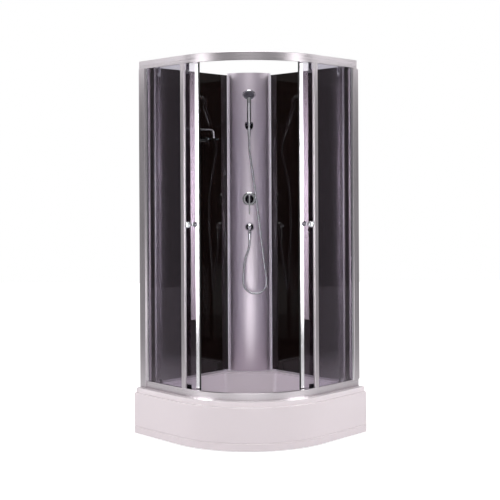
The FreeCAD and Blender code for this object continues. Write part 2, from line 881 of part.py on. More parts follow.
def make_mixer_cap():
    start = column_front + neck_reach
    cap = moved(dome(mixer_cap_radius, mixer_cap_depth + 2.0 * neck_reach, start),
                V(0, 0, mixer_height))
    seat = start + cartridge_depth + cartridge_play
    cap = cap.cut(along_diagonal(start - 1.0, seat, mixer_height, cartridge_radius + cartridge_play))
    slot_half = lever_width / 2.0 + lever_play
    slot = Part.makeBox(2.0 * mixer_cap_radius, 2.0 * slot_half, 3.0 * mixer_cap_radius,
                        V(seat + 1.5, -slot_half, mixer_height - 1.5 * mixer_cap_radius))
    pin = crosswise(lever_pivot(), lever_pin_half + lever_pin_play, lever_pin_radius + lever_pin_play)
    return cap.cut(turned(slot, 45.0)).cut(pin)


def make_lever():
    """A slim blade in the cap's slot; its pin turns in the cap."""
    pivot = column_front + lever_pivot_depth
    face = column_front + mixer_cap_depth + 8.0
    half = lever_width / 2.0
    z = mixer_height
    low = z - lever_down
    outline = [(pivot - 5, z - 3.5), (pivot - 5, z + 3.5), (pivot + 3, z + 9), (face - 6, z + 24),
               (face - 1, z + 22), (face + 1, z - 20), (face + 3, low + 2), (face + 1, low),
               (face - 3, low + 1), (face - 5, z - 26)]
    corners = [V(depth, -half, height) for depth, height in outline]
    blade = Part.Face(Part.makePolygon(corners + corners[:1])).extrude(V(0, lever_width, 0))
    return fused([turned(blade, 45.0), crosswise(lever_pivot(), lever_pin_half, lever_pin_radius)])


def make_lower_nut():
    """The hose's long conical nut, screwed on the outlet's spigot."""
    top = hose_nut_top()
    foot = on_diagonal(outlet_lane(), 0)
    low = top - nut_length
    wide = spigot_radius + 2.0
    return revolved([(0, low), (hose_radius + 1.5, low), (hose_radius + 2, low + 6),
                     (wide - 1, top - 12), (wide, top - 10), (wide, top - 1), (wide - 1, top),
                     (0, top)], foot, Z, V(1, 0, 0))


# ---- hand shower ----------------------------------------------------------------------
def handle_way():
    lean = math.radians(handle_lean)
    return V(FORWARD).multiply(math.sin(lean)).add(V(Z).multiply(math.cos(lean)))


def handle_point(along):
    return on_diagonal(column_front + holder_reach, holder_height).add(handle_way().multiply(along))


def handle_turned(points):
    """Turn an outline of (radius, distance along) about the handle's axis."""
    return revolved(points, handle_point(0), handle_way(), SIDEWAYS)


def face_way():
    tilt = math.radians(head_tilt)
    return V(FORWARD).multiply(math.cos(tilt)).sub(V(Z).multiply(math.sin(tilt)))


def head_centre():
    lean = (head_height - holder_height) * math.tan(math.radians(handle_lean))
    return on_diagonal(column_front + holder_reach + lean, head_height)


def make_handset():
    half = grip_length / 2.0
    end = handle_low + handle_length
    foot = grip_low_radius - 1.1
    grip = handle_turned([(0, handle_low), (foot, handle_low), (foot, handle_low + 6),
                          (grip_low_radius, -half), (grip_top_radius, half),
                          (grip_top_radius + 0.4, end / 2.0), (neck_radius, end), (0, end)])
    way = handle_way()
    look = face_way()
    back = V(look).multiply(-1.0)
    centre = head_centre()
    rear = -head_thick
    head = revolved([(0, rear), (head_back_radius, rear), (head_bell_radius, rear + head_bell_rise),
                     (head_shoulder_radius, rear + head_shoulder_rise), (head_radius, -head_edge),
                     (head_radius, -head_lip), (head_radius - head_chamfer, 0),
                     (face_radius, 0), (face_radius, -face_depth), (0, -face_depth)],
                    centre, look, SIDEWAYS)
    rise = V(SIDEWAYS).cross(look)
    if rise.z > 0:
        rise = rise.multiply(-1.0)
    rings = []
    joint = centre.add(V(back).multiply(neck_joint_back)).add(V(rise).multiply(neck_joint_below))
    inside = centre.add(V(back).multiply(neck_root_back))
    up = V(rise).multiply(-1.0)
    for place, direction, radius in ((handle_point(end - neck_sunk), way, neck_radius),
                                     (handle_point(end + neck_straight), way, neck_radius + 0.2),
                                     (joint, V(way).add(up).normalize(), neck_joint_radius),
                                     (inside, up, neck_root_radius)):
        rings.append(Part.Wire([Part.Circle(place, direction, radius).toShape()]))
    neck = Part.makeLoft(rings, True, True)
    face_room = Part.makeCylinder(face_radius, 2.0 * face_depth,
                                  centre.sub(V(look).multiply(face_depth)), look)
    return fused([grip, neck, head]).cut(face_room)


def make_spray_face():
    edge = face_radius - face_play
    return revolved([(0, -face_depth), (edge, -face_depth), (edge, 0), (edge - 2, face_proud),
                     (0, face_proud)], head_centre(), face_way(), SIDEWAYS)


def make_upper_nut():
    top = handle_low
    low = handle_low - handset_nut_length
    wide = grip_low_radius - 1.2
    return handle_turned([(0, low), (hose_radius + 1.5, low), (hose_radius + 2, low + 5),
                          (wide, top - 6), (wide, top), (0, top)])


def make_holder():
    """A base on the column and a thick open ring round the handle."""
    half = holder_half
    ring = handle_turned([(0, -half), (holder_ring, -half + 2), (holder_ring + 1.5, 0),
                          (holder_ring, half - 2), (0, half)])
    middle = holder_height - 4.0
    base = along_diagonal(column_front - 2.0 * column_wall, column_front + holder_base_depth,
                          middle, holder_base_radius)
    arm = rod(on_diagonal(column_front, middle),
              on_diagonal(column_front + holder_reach - holder_ring / 2.0, middle + 2.0),
              holder_arm_radius)
    taper = (grip_top_radius - grip_low_radius) / grip_length
    narrow = (grip_top_radius + grip_low_radius) / 2.0 + holder_play
    reach = 2.5 * half
    bore = Part.makeCone(narrow - reach * taper, narrow + reach * taper, 2.0 * reach,
                         handle_point(-reach), handle_way())
    mouth = Part.makeBox(2.5 * holder_ring, holder_mouth, 5.6 * half,
                         V(column_front + holder_reach, -holder_mouth / 2.0,
                           holder_height - 2.8 * half))
    whole = fused([ring, base, arm]).cut(turned(mouth, 45.0))
    return in_front_of_column(whole.cut(bore))


# ---- hose -----------------------------------------------------------------------------
# Sideways (+ to the right), depth from the room corner, height above the outlet's middle;
# from the outlet's nut down round the loop and up to the hand shower.
hose_route = [
    (-29, 218, -193),
    (-37, 229, -275),
    (-40, 239, -353),
    (4, 244, -398),
    (66, 246, -395),
    (104, 248, -347),
    (94, 251, -271),
    (80, 256, -175),
    (69, 262, -73),
    (57, 266, 27),
    (45, 266, 125),
    (33, 260, 223),
    (21, 245, 319),
    (7, 226, 409),
]
hose_drop = 43.5             # straight down out of the outlet's nut
hose_lead = 62.0             # straight out of the hand shower's nut


def hose_points():
    nut_foot = hose_nut_top() - nut_length
    first = [on_diagonal(outlet_lane(), nut_foot), on_diagonal(outlet_lane(), nut_foot - hose_drop)]
    free = [on_diagonal(depth, outlet_height + rise).sub(V(SIDEWAYS).multiply(across))
            for across, depth, rise in hose_route]
    end = handle_low - handset_nut_length
    return first + free + [handle_point(end - hose_lead), handle_point(end)]


def tube_path(points):
    """Straight runs joined by tangent arcs, each as large as its two runs allow."""
    edges = []
    radii = []
    at = points[0]
    for i in range(1, len(points) - 1):
        here = points[i]
        back = points[i - 1].sub(here)
        on = points[i + 1].sub(here)
        reach = 0.45 * min(back.Length, on.Length)
        half = back.getAngle(on) / 2.0
        radius = reach * math.tan(half)
        radii.append(radius)
        back.normalize()
        on.normalize()
        start = here.add(V(back).multiply(reach))
        end = here.add(V(on).multiply(reach))
        middle = V(back).add(on).normalize()
        top = here.add(V(middle).multiply(radius / math.sin(half) - radius))
        edges.append(Part.LineSegment(at, start).toShape())
        edges.append(Part.Arc(start, top, end).toShape())
        at = end
    edges.append(Part.LineSegment(at, points[-1]).toShape())
    return Part.Wire(edges), radii


def make_hose():
    points = hose_points()
    path, radii = tube_path(points)
    way = points[1].sub(points[0])
    ring = Part.Wire([Part.Circle(points[0], way, hose_radius).toShape()])
    tube = path.makePipeShell([ring], True, False)
    expected = math.pi * hose_radius ** 2 * path.Length
    print("hose length %.1f, volume ratio %.5f" % (path.Length, tube.Volume / expected))
    print("hose bend radii", " ".join("%.0f" % r for r in radii))
    return tube


# ---- shelf ----------------------------------------------------------------------------
def make_shelf_glass():
    inner = panel_face + shelf_gap
    corners = [(shelf_start, inner), (shelf_end, inner), (shelf_end, shelf_reach),
               (shelf_start, shelf_reach)]
    return slab(corners, [0, 0, shelf_round, shelf_round], shelf_top - shelf_glass, shelf_top)


def make_shelf_rail():
    place = shelf_reach - shelf_rail_inset
    points = [V(shelf_rail_start, place, shelf_top), V(shelf_rail_start, place, shelf_rail_height),
              V(shelf_rail_end, place, shelf_rail_height), V(shelf_rail_end, place, shelf_top)]
    bend = shelf_rail_bend
    drop = bend * (1.0 - math.sqrt(0.5))
    edges = [
        Part.LineSegment(points[0], V(shelf_rail_start, place, shelf_rail_height - bend)).toShape(),
        Part.Arc(V(shelf_rail_start, place, shelf_rail_height - bend),
                 V(shelf_rail_start + drop, place, shelf_rail_height - drop),
                 V(shelf_rail_start + bend, place, shelf_rail_height)).toShape(),
        Part.LineSegment(V(shelf_rail_start + bend, place, shelf_rail_height),
                         V(shelf_rail_end - bend, place, shelf_rail_height)).toShape(),
        Part.Arc(V(shelf_rail_end - bend, place, shelf_rail_height),
                 V(shelf_rail_end - drop, place, shelf_rail_height - drop),
                 V(shelf_rail_end, place, shelf_rail_height - bend)).toShape(),
        Part.LineSegment(V(shelf_rail_end, place, shelf_rail_height - bend), points[3]).toShape(),
    ]
    ring = Part.Wire([Part.Circle(points[0], Z, shelf_rail_radius).toShape()])
    bar = Part.Wire(edges).makePipeShell([ring], True, False)
    wide = shelf_rail_radius + shelf_rail_foot_rim
    feet = [Part.makeCylinder(wide, shelf_rail_foot, points[i]) for i in (0, 3)]
    return fused([bar] + feet)


def make_shelf_brackets():
    low = shelf_top - shelf_glass
    brackets = []
    for place in shelf_bracket_places:
        half = shelf_bracket_width / 2.0
        reach = panel_face + shelf_bracket_reach
        block = box(place - half, place + half, panel_face, reach,
                    low - shelf_bracket_below, shelf_top + shelf_bracket_above)
        edges = [e for e in block.Edges
                 if e.BoundBox.YLength > shelf_bracket_reach / 2.0 and e.BoundBox.ZMax < low]
        block = block.makeFillet(shelf_bracket_round, edges)
        slot = box(place - half, place + half, panel_face + shelf_gap, reach, low, shelf_top)
        brackets.append(block.cut(slot))
    return brackets


# ---- doors ----------------------------------------------------------------------------
def door_open_pose():
    """Centre and middle direction of the left door's round when it stands open: the
    leading roller just on the rail's round, the trailing one on its straight."""
    roller_angle = door_angle / 2.0 - math.degrees(roller_inset / door_radius)
    chord = 2.0 * door_radius * math.sin(math.radians(roller_angle))
    lead = V(tray_return + door_radius * math.cos(math.radians(open_angle)),
             tray_return + door_radius * math.sin(math.radians(open_angle)), 0)
    back = door_line - lead.x
    trail = V(door_line, lead.y - math.sqrt(chord ** 2 - back ** 2), 0)
    along = lead.sub(trail).normalize()
    out = V(along.y, -along.x, 0)
    middle = lead.add(trail).multiply(0.5)
    centre = middle.sub(V(out).multiply(door_radius * math.cos(math.radians(roller_angle))))
    return centre, math.degrees(math.atan2(out.y, out.x))


def door_pole():
    """The point about which the door turns from open to closed, and the angle."""
    centre, heading = door_open_pose()
    closed = V(tray_return, tray_return, 0)
    turn = 45.0 - door_angle / 2.0 - heading
    shift = closed.sub(centre)
    middle = centre.add(closed).multiply(0.5)
    side = V(-shift.y, shift.x, 0).normalize()
    reach = shift.Length / 2.0 / math.tan(math.radians(turn / 2.0))
    return middle.add(V(side).multiply(reach)), turn


def door_placed(shape):
    """From the door's own frame, round centre at 0 and middle on +u, to open."""
    centre, heading = door_open_pose()
    return moved(turned(shape, heading), centre)


def arc_angle(length):
    return math.degrees(length / door_radius)


def door_arc(thickness, first, last, z0=None, z1=None):
    z0 = door_bottom if z0 is None else z0
    z1 = door_top if z1 is None else z1
    return arc_plate(ORIGIN, door_radius - thickness / 2.0, door_radius + thickness / 2.0,
                     first, last, z0, z1)


def make_door_glass():
    first = -door_half + arc_angle(trail_stile_width - stile_overlap)
    last = door_half - arc_angle(seal_width + lead_stile_width - stile_overlap)
    return door_arc(door_glass, first, last)


def make_lead_stile():
    first = door_half - arc_angle(seal_width + lead_stile_width)
    last = door_half - arc_angle(seal_width)
    stile = door_arc(door_stile_depth, first, last)
    return stile.cut(door_arc(door_glass, first, first + arc_angle(stile_overlap)))


def make_trail_stile():
    first = -door_half
    last = -door_half + arc_angle(trail_stile_width)
    stile = door_arc(door_stile_depth, first, last)
    return stile.cut(door_arc(door_glass, last - arc_angle(stile_overlap), last))


def make_door_seal():
    first = door_half - arc_angle(seal_width)
    return door_arc(door_stile_depth - 3.0, first, door_half - arc_angle(seal_gap))


def roller_angles():
    inset = arc_angle(roller_inset)
    return {"lead": door_half - inset, "trail": -door_half + inset}


def roller_height():
    return top_rail_bottom + ledge_height + rail_wall + roller_radius + roller_play


def roller_offset():
    return door_offset - roller_s


def make_roller(which):
    angle = roller_angles()[which]
    middle = door_radius + roller_offset()
    start = V(middle - roller_width / 2.0, 0, roller_height())
    wheel = Part.makeCylinder(roller_radius, roller_width, start, V(1, 0, 0))
    wheel = wheel.makeChamfer(1.0, [e for e in wheel.Edges if e.Curve.TypeId == "Part::GeomCircle"])
    bore = Part.makeCylinder(axle_radius + axle_play, roller_width, start, V(1, 0, 0))
    return turned(wheel.cut(bore), angle)


def make_roller_arms():
    """Each arm is screwed to the glass and carries the roller's axle."""
    arms = []
    half = arm_width / 2.0
    low = door_top - arm_drop
    height = roller_height()
    back = door_radius - door_glass / 2.0 - arm_gap - arm_thick
    axle_length = door_radius + roller_offset() + roller_width / 2.0 + axle_end - back
    screw_length = arm_thick + arm_gap + door_glass + arm_screw_head
    for angle in roller_angles().values():
        plate = Part.makeBox(arm_thick, arm_width, height + arm_above_axle - low, V(back, -half, low))
        screw = Part.makeCylinder(half, screw_length, V(back, 0, low + arm_screw), V(1, 0, 0))
        axle = Part.makeCylinder(axle_radius, axle_length, V(back, 0, height), V(1, 0, 0))
        arms.append(turned(fused([plate, screw, axle]), angle))
    return arms


def make_guides():
    """Sliding guides on the door's foot that run in the bottom rail's channel."""
    guides = []
    half = guide_length / 2.0
    floor = tray_rim_top + rail_wall + guide_play
    shoulder = door_bottom - bottom_rail_drop + guide_play
    back = door_radius - door_glass / 2.0 - glass_play - guide_clamp_thick
    front = door_radius + guide_width / 2.0
    for angle in roller_angles().values():
        tongue = Part.makeBox(guide_width, guide_length, door_bottom - floor,
                              V(door_radius - guide_width / 2.0, -half, floor))
        bridge = Part.makeBox(front - back, guide_length, door_bottom - shoulder,
                              V(back, -half, shoulder))
        clamp = Part.makeBox(guide_clamp_thick, guide_length,
                             door_bottom + guide_clamp_height - shoulder, V(back, -half, shoulder))
        guides.append(turned(fused([tongue, bridge, clamp]), angle))
    return guides


def make_knob():
    """A round knob on a stem, a spindle-shaped plate and a small knob inside."""
    angle = door_half - arc_angle(knob_from_edge)
    face = door_radius + door_glass / 2.0
    back = door_radius - door_glass / 2.0
    base = V(0, 0, knob_height)
    x_axis = V(1, 0, 0)
    stem = knob_stem_radius
    seat = face + glass_play
    front = face + knob_reach
    head = front - knob_head
    ball = revolved([(0, seat), (2 * stem, seat), (2 * stem, face + 3), (stem, face + 6),
                     (stem, head - 4), (2 * stem, head), (knob_radius - 2, head + 2),
                     (knob_radius, head + 7), (knob_radius, front - 7.5),
                     (knob_radius - 3, front - 2.5), (knob_radius - 9, front - 0.5), (0, front)],
                    base, x_axis, V(0, 1, 0))
    rear = back - glass_play
    inside = revolved([(0, rear - 16), (8, rear - 16), (11, rear - 12), (11, rear - 8),
                       (6, rear - 4), (2 * stem, rear), (0, rear)], base, x_axis, V(0, 1, 0))
    tall = knob_plate_half
    wide = knob_plate_wide
    half = [(0, -tall), (0.25 * wide, -0.45 * tall), (wide, -0.1 * tall), (wide, 0.1 * tall),
            (0.25 * wide, 0.45 * tall), (0, tall)]
    spindle = half + [(-y, -z) for y, z in half[1:-1]]
    corners = [V(rear - knob_plate_thick, y, knob_height + z) for y, z in spindle]
    plate = Part.Face(Part.makePolygon(corners + corners[:1])).extrude(V(knob_plate_thick, 0, 0))
    bolt = Part.makeCylinder(knob_bolt_radius, seat - rear + 2.0, V(rear - 1.0, 0, knob_height),
                             x_axis)
    return turned(fused([ball, inside, plate, bolt]), angle)


def drilled_glass():
    """The door glass with its holes for the knob and the roller arms."""
    places = [(door_half - arc_angle(knob_from_edge), knob_height, knob_bolt_radius)]
    for angle in roller_angles().values():
        places.append((angle, door_top - arm_drop + arm_screw, arm_width / 2.0))
    holes = []
    for angle, height, radius in places:
        start = V(door_radius - 2.0 * door_glass, 0, height)
        hole = Part.makeCylinder(radius + glass_play, 4.0 * door_glass, start, V(1, 0, 0))
        holes.append(turned(hole, angle))
    return make_door_glass().cut(fused(holes))


# ---- put together ---------------------------------------------------------------------
def in_row_frame(shape):
    return moved(turned(shape, 225.0), V(0, corner_y, 0))


def on_side(side, shape):
    return shape if side == "left" else swapped(shape)


def both_sides(nodes, name, shape):
    nodes[name + "_left"] = [shape]
    nodes[name + "_right"] = [swapped(shape)]


def build():
    nodes = {}
    nodes["tray"] = [make_tray()]
    nodes["apron"] = [make_apron()]
    nodes["apron_clips"] = make_apron_clips()
    nodes["tray_frame"] = [make_tray_frame()]
    nodes["foot_rods"], nodes["foot_pads"], nodes["foot_nuts"] = make_feet()
    waste_body, waste_trap = make_waste()
    nodes["waste_body"] = [waste_body]
    nodes["waste_trap"] = [waste_trap]
    nodes["waste_cover"] = [make_waste_cover()]
    nodes["bottom_rail"] = [make_bottom_rail()]
    nodes["top_rail"] = [make_top_rail()]
    for side in ("left", "right"):
        nodes["side_post_" + side] = [on_side(side, make_side_post(side))]
        nodes["fixed_glass_" + side] = [on_side(side, make_fixed_glass(side))]
    nodes["wall_channels"] = [on_side(side, make_wall_channel(side)) for side in ("left", "right")]
    nodes["edge_strips"] = [on_side(side, make_edge_strip(side)) for side in ("left", "right")]
    stile = make_fixed_stile()
    nodes["fixed_stiles"] = [stile, swapped(stile)]
    both_sides(nodes, "back_panel", make_back_panel())
    trim = make_panel_trim()
    nodes["panel_trims"] = [trim, swapped(trim)]
    nodes["column"] = [make_column()]
    strip = make_column_strip()
    nodes["column_strips"] = [strip, swapped(strip)]
    nodes["column_braces"] = make_column_braces()
    nodes["mixer_body"] = [make_mixer_body()]
    nodes["mixer_cartridge"] = [make_cartridge()]
    nodes["mixer_escutcheon"] = [make_escutcheon()]
    nodes["mixer_cap"] = [make_mixer_cap()]
    nodes["mixer_lever"] = [make_lever()]
    nodes["feed_pipe"] = [make_feed_pipe()]
    nodes["outlet_elbow"] = [make_outlet_elbow()]
    nodes["outlet_dome"] = [make_outlet()]
    nodes["hose_nut_lower"] = [make_lower_nut()]
    nodes["hose"] = [make_hose()]
    nodes["hose_nut_upper"] = [make_upper_nut()]
    nodes["handset"] = [make_handset()]
    nodes["spray_face"] = [make_spray_face()]
    nodes["handset_holder"] = [make_holder()]
    nodes["shelf_glass"] = [make_shelf_glass()]
    nodes["shelf_rail"] = [make_shelf_rail()]
    nodes["shelf_brackets"] = make_shelf_brackets()
    both_sides(nodes, "door_glass", door_placed(drilled_glass()))
    both_sides(nodes, "door_lead_stile", door_placed(make_lead_stile()))
    both_sides(nodes, "door_trail_stile", door_placed(make_trail_stile()))
    both_sides(nodes, "door_seal", door_placed(make_door_seal()))
    both_sides(nodes, "door_knob", door_placed(make_knob()))
    for which in ("lead", "trail"):
        both_sides(nodes, "roller_" + which, door_placed(make_roller(which)))
    arms = [door_placed(arm) for arm in make_roller_arms()]
    guides = [door_placed(guide) for guide in make_guides()]
    nodes["roller_arms_left"] = arms
    nodes["roller_arms_right"] = [swapped(arm) for arm in arms]
    nodes["door_guides_left"] = guides
    nodes["door_guides_right"] = [swapped(guide) for guide in guides]
    return nodes


def main():
    os.makedirs("parts", exist_ok=True)
    for name, shapes in build().items():
        placed = [in_row_frame(shape) for shape in shapes]
        whole = placed[0] if len(placed) == 1 else Part.makeCompound(placed)
        solids = whole.Solids
        if not whole.isValid():
            print("not valid:", name)
        if len(solids) != len(shapes):
            print("solid count:", name, len(solids))
        whole = solids[0] if len(solids) == 1 else Part.makeCompound(solids)
        whole.exportStep("parts/" + name + ".step")
    pole, turn = door_pole()
    print("door pole u %.2f v %.2f, closing angle %.3f" % (pole.x, pole.y, turn))
    print("corner at y %.2f" % corner_y)


main()
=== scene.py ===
import math

import bmesh
import bpy
from mathutils import Matrix, Vector


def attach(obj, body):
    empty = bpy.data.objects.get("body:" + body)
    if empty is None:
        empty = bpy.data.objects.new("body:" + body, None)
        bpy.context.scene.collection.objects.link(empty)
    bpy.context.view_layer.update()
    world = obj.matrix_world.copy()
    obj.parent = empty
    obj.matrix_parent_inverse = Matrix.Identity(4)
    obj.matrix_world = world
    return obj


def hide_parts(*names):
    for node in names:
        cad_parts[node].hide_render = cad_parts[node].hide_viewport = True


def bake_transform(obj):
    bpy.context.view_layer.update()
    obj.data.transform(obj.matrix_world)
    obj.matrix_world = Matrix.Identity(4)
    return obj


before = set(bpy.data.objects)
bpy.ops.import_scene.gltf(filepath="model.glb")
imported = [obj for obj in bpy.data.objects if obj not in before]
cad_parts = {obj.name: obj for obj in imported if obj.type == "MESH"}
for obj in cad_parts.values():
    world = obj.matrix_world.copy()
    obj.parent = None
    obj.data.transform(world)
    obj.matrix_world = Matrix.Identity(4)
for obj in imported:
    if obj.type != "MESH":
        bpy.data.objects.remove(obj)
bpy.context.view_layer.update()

bl_info = {
    "name": "Quadrant shower cabin finish",
    "version": (1, 0, 0),
    "blender": (4, 5, 0),
    "location": "3D View > Sidebar > Shower",
    "description": "Dresses a corner shower cabin: materials, hose, knobs and fittings",
    "category": "Object",
}


# ---- settings a user would change -------------------------------------------------

class ShowerSizes(bpy.types.PropertyGroup):
    hose_diameter: bpy.props.FloatProperty(
        name="Hose diameter", description="Outside diameter of the interlocked metal hose",
        default=0.013, unit="LENGTH")
    hose_pitch: bpy.props.FloatProperty(
        name="Hose turn", description="Length of one visible turn of the hose's metal strip",
        default=0.0048, unit="LENGTH")
    hose_length: bpy.props.FloatProperty(
        name="Hose length", description="Length of the hose between its two nuts",
        default=1.36, unit="LENGTH")
    nozzle_radius: bpy.props.FloatProperty(
        name="Nozzle radius", description="Radius of one rubber nozzle on the spray face",
        default=0.0013, unit="LENGTH")


class ShowerColours(bpy.types.PropertyGroup):
    acrylic: bpy.props.StringProperty(
        name="Acrylic", description="Tray's sanitary acrylic", default="#EEE5E9")
    apron: bpy.props.StringProperty(
        name="Apron", description="Front skirt's acrylic", default="#EAE0E4")
    satin: bpy.props.StringProperty(
        name="Satin aluminium", description="Satin anodised profiles", default="#CFC8CD")
    bright: bpy.props.StringProperty(
        name="Bright aluminium", description="Bright anodised strips", default="#E6E4E8")
    column: bpy.props.StringProperty(
        name="Column", description="Satin silver corner column", default="#EADFEA")
    tint: bpy.props.StringProperty(
        name="Glass tint", description="Light grey tint of the door and side glass",
        default="#DEDBE2")
    dark_glass: bpy.props.StringProperty(
        name="Dark glass", description="Black enamel behind the back panels", default="#160E0C")
    chrome: bpy.props.StringProperty(
        name="Chrome", description="Polished chrome plating", default="#DEDEE2")


# ---- small helpers -------------------------------------------------------------------

def linear(colour):
    """An sRGB hex colour as linear red, green, blue and alpha."""
    channels = []
    for i in (1, 3, 5):
        c = int(colour[i:i + 2], 16) / 255.0
        channels.append(c / 12.92 if c <= 0.04045 else ((c + 0.055) / 1.055) ** 2.4)
    return (*channels, 1.0)


def add(tree, kind, settings=None, links=None):
    """Add one node with its settings, and link its inputs from other nodes' outputs."""
    node = tree.nodes.new(kind)
    for name, value in (settings or {}).items():
        if isinstance(name, int) or name in node.inputs:
            node.inputs[name].default_value = value
        else:
            setattr(node, name, value)
    for name, output in (links or {}).items():
        tree.links.new(output, node.inputs[name])
    return node


def empty_material(name):
    material = bpy.data.materials.new(name)
    material.use_nodes = True
    material.node_tree.nodes.clear()
    return material, material.node_tree


def finish_material(tree, shader):
    add(tree, "ShaderNodeOutputMaterial", links={"Surface": shader})


def ramp(tree, factor, stops):
    """A colour ramp through (place, hex colour) stops."""
    node = add(tree, "ShaderNodeValToRGB", links={"Fac": factor})
    elements = node.color_ramp.elements
    while len(elements) < len(stops):
        elements.new(0.5)
    for element, (place, colour) in zip(elements, stops):
        element.position = place
        element.color = linear(colour)
    return node


def span(tree, value, low, high, to_low, to_high):
    """Map a number from one range to another."""
    return add(tree, "ShaderNodeMapRange",
               {"From Min": low, "From Max": high, "To Min": to_low, "To Max": to_high},
               {"Value": value})


def combine(tree, operation, first, second):
    """One number out of two others, by the operation of that name."""
    return add(tree, "ShaderNodeMath", {"operation": operation}, {0: first, 1: second})


def colours():
    return bpy.context.scene.shower_colours


def sizes():
    return bpy.context.scene.shower_sizes


def paint(node, material):
    """Give a CAD node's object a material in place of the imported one."""
    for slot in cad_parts[node].material_slots:
        slot.material = material


def mesh_object(name, bm, material, smooth=True):
    bmesh.ops.recalc_face_normals(bm, faces=bm.faces)
    mesh = bpy.data.meshes.new(name)
    bm.to_mesh(mesh)
    bm.free()
    for face in mesh.polygons:
        face.use_smooth = smooth
    mesh.materials.append(material)
    piece = bpy.data.objects.new(name, mesh)
    bpy.context.scene.collection.objects.link(piece)
    return piece


# ---- materials -------------------------------------------------------------------------

def acrylic(name, colour, roughness):
    """Vacuum-formed sanitary acrylic: a clean gloss with a very slight orange peel."""
    material, tree = empty_material(name)
    place = add(tree, "ShaderNodeTexCoord")
    peel = add(tree, "ShaderNodeTexNoise", {"Scale": 28.0, "Detail": 2.0},
               {"Vector": place.outputs["Object"]})
    bump = add(tree, "ShaderNodeBump", {"Strength": 0.04, "Distance": 0.002},
               {"Height": peel.outputs["Fac"]})
    haze = add(tree, "ShaderNodeTexNoise", {"Scale": 5.0, "Detail": 4.0},
               {"Vector": place.outputs["Object"]})
    rough = span(tree, haze.outputs["Fac"], 0.3, 0.7, roughness * 0.8, roughness * 1.25)
    shader = add(tree, "ShaderNodeBsdfPrincipled",
                 {"Base Color": linear(colour), "IOR": 1.49},
                 {"Normal": bump.outputs["Normal"], "Roughness": rough.outputs["Result"]})
    finish_material(tree, shader.outputs["BSDF"])
    return material


def brushed(name, colour, roughness, grain, strength=0.12):
    """Anodised aluminium: fine lines along the profile, grain is lines per metre on X, Y, Z."""
    material, tree = empty_material(name)
    place = add(tree, "ShaderNodeTexCoord")
    stretch = add(tree, "ShaderNodeMapping", {"Scale": grain}, {"Vector": place.outputs["Object"]})
    lines = add(tree, "ShaderNodeTexNoise", {"Scale": 1.0, "Detail": 3.0, "Roughness": 0.6},
                {"Vector": stretch.outputs["Vector"]})
    rough = span(tree, lines.outputs["Fac"], 0.3, 0.7, roughness - 0.06, roughness + 0.08)
    bump = add(tree, "ShaderNodeBump", {"Strength": strength, "Distance": 0.0004},
               {"Height": lines.outputs["Fac"]})
    shader = add(tree, "ShaderNodeBsdfPrincipled",
                 {"Base Color": linear(colour), "Metallic": 1.0},
                 {"Roughness": rough.outputs["Result"], "Normal": bump.outputs["Normal"]})
    finish_material(tree, shader.outputs["BSDF"])
    return material


def chrome(name, colour, roughness):
    """Chrome plating on brass: a mirror with faint wiping haze."""
    material, tree = empty_material(name)
    place = add(tree, "ShaderNodeTexCoord")
    haze = add(tree, "ShaderNodeTexNoise", {"Scale": 60.0, "Detail": 3.0},
               {"Vector": place.outputs["Object"]})
    rough = span(tree, haze.outputs["Fac"], 0.3, 0.8, roughness * 0.6, roughness * 1.6)
    shader = add(tree, "ShaderNodeBsdfPrincipled",
                 {"Base Color": linear(colour), "Metallic": 1.0},
                 {"Roughness": rough.outputs["Result"]})
    finish_material(tree, shader.outputs["BSDF"])
    return material


def clear_glass(name, colour, sheen="#FFFFFF"):
    """Toughened float glass with a light tint, hardly wavy; the lamps' light passes through it."""
    material, tree = empty_material(name)
    place = add(tree, "ShaderNodeTexCoord")
    wave = add(tree, "ShaderNodeTexNoise", {"Scale": 2.2, "Detail": 1.0},
               {"Vector": place.outputs["Object"]})
    bump = add(tree, "ShaderNodeBump", {"Strength": 0.02, "Distance": 0.01},
               {"Height": wave.outputs["Fac"]})
    glass = add(tree, "ShaderNodeBsdfPrincipled",
                {"Base Color": linear(colour), "Roughness": 0.0, "IOR": 1.5,
                 "Transmission Weight": 1.0, "Specular Tint": linear(sheen)},
                {"Normal": bump.outputs["Normal"]})
    open_air = add(tree, "ShaderNodeBsdfTransparent", {"Color": linear(colour)})
    path = add(tree, "ShaderNodeLightPath")
    shader = add(tree, "ShaderNodeMixShader", links={
        0: path.outputs["Is Shadow Ray"], 1: glass.outputs["BSDF"], 2: open_air.outputs["BSDF"]})
    finish_material(tree, shader.outputs["Shader"])
    return material


def enamelled_glass(name, colour):
    """Glass with black enamel on its back: a deep gloss over an almost black ground."""
    material, tree = empty_material(name)
    place = add(tree, "ShaderNodeTexCoord")
    wave = add(tree, "ShaderNodeTexNoise", {"Scale": 1.6, "Detail": 1.0},
               {"Vector": place.outputs["Object"]})
    bump = add(tree, "ShaderNodeBump", {"Strength": 0.015, "Distance": 0.01},
               {"Height": wave.outputs["Fac"]})
    shader = add(tree, "ShaderNodeBsdfPrincipled",
                 {"Base Color": linear(colour), "Roughness": 0.03, "IOR": 1.52},
                 {"Normal": bump.outputs["Normal"]})
    finish_material(tree, shader.outputs["BSDF"])
    return material


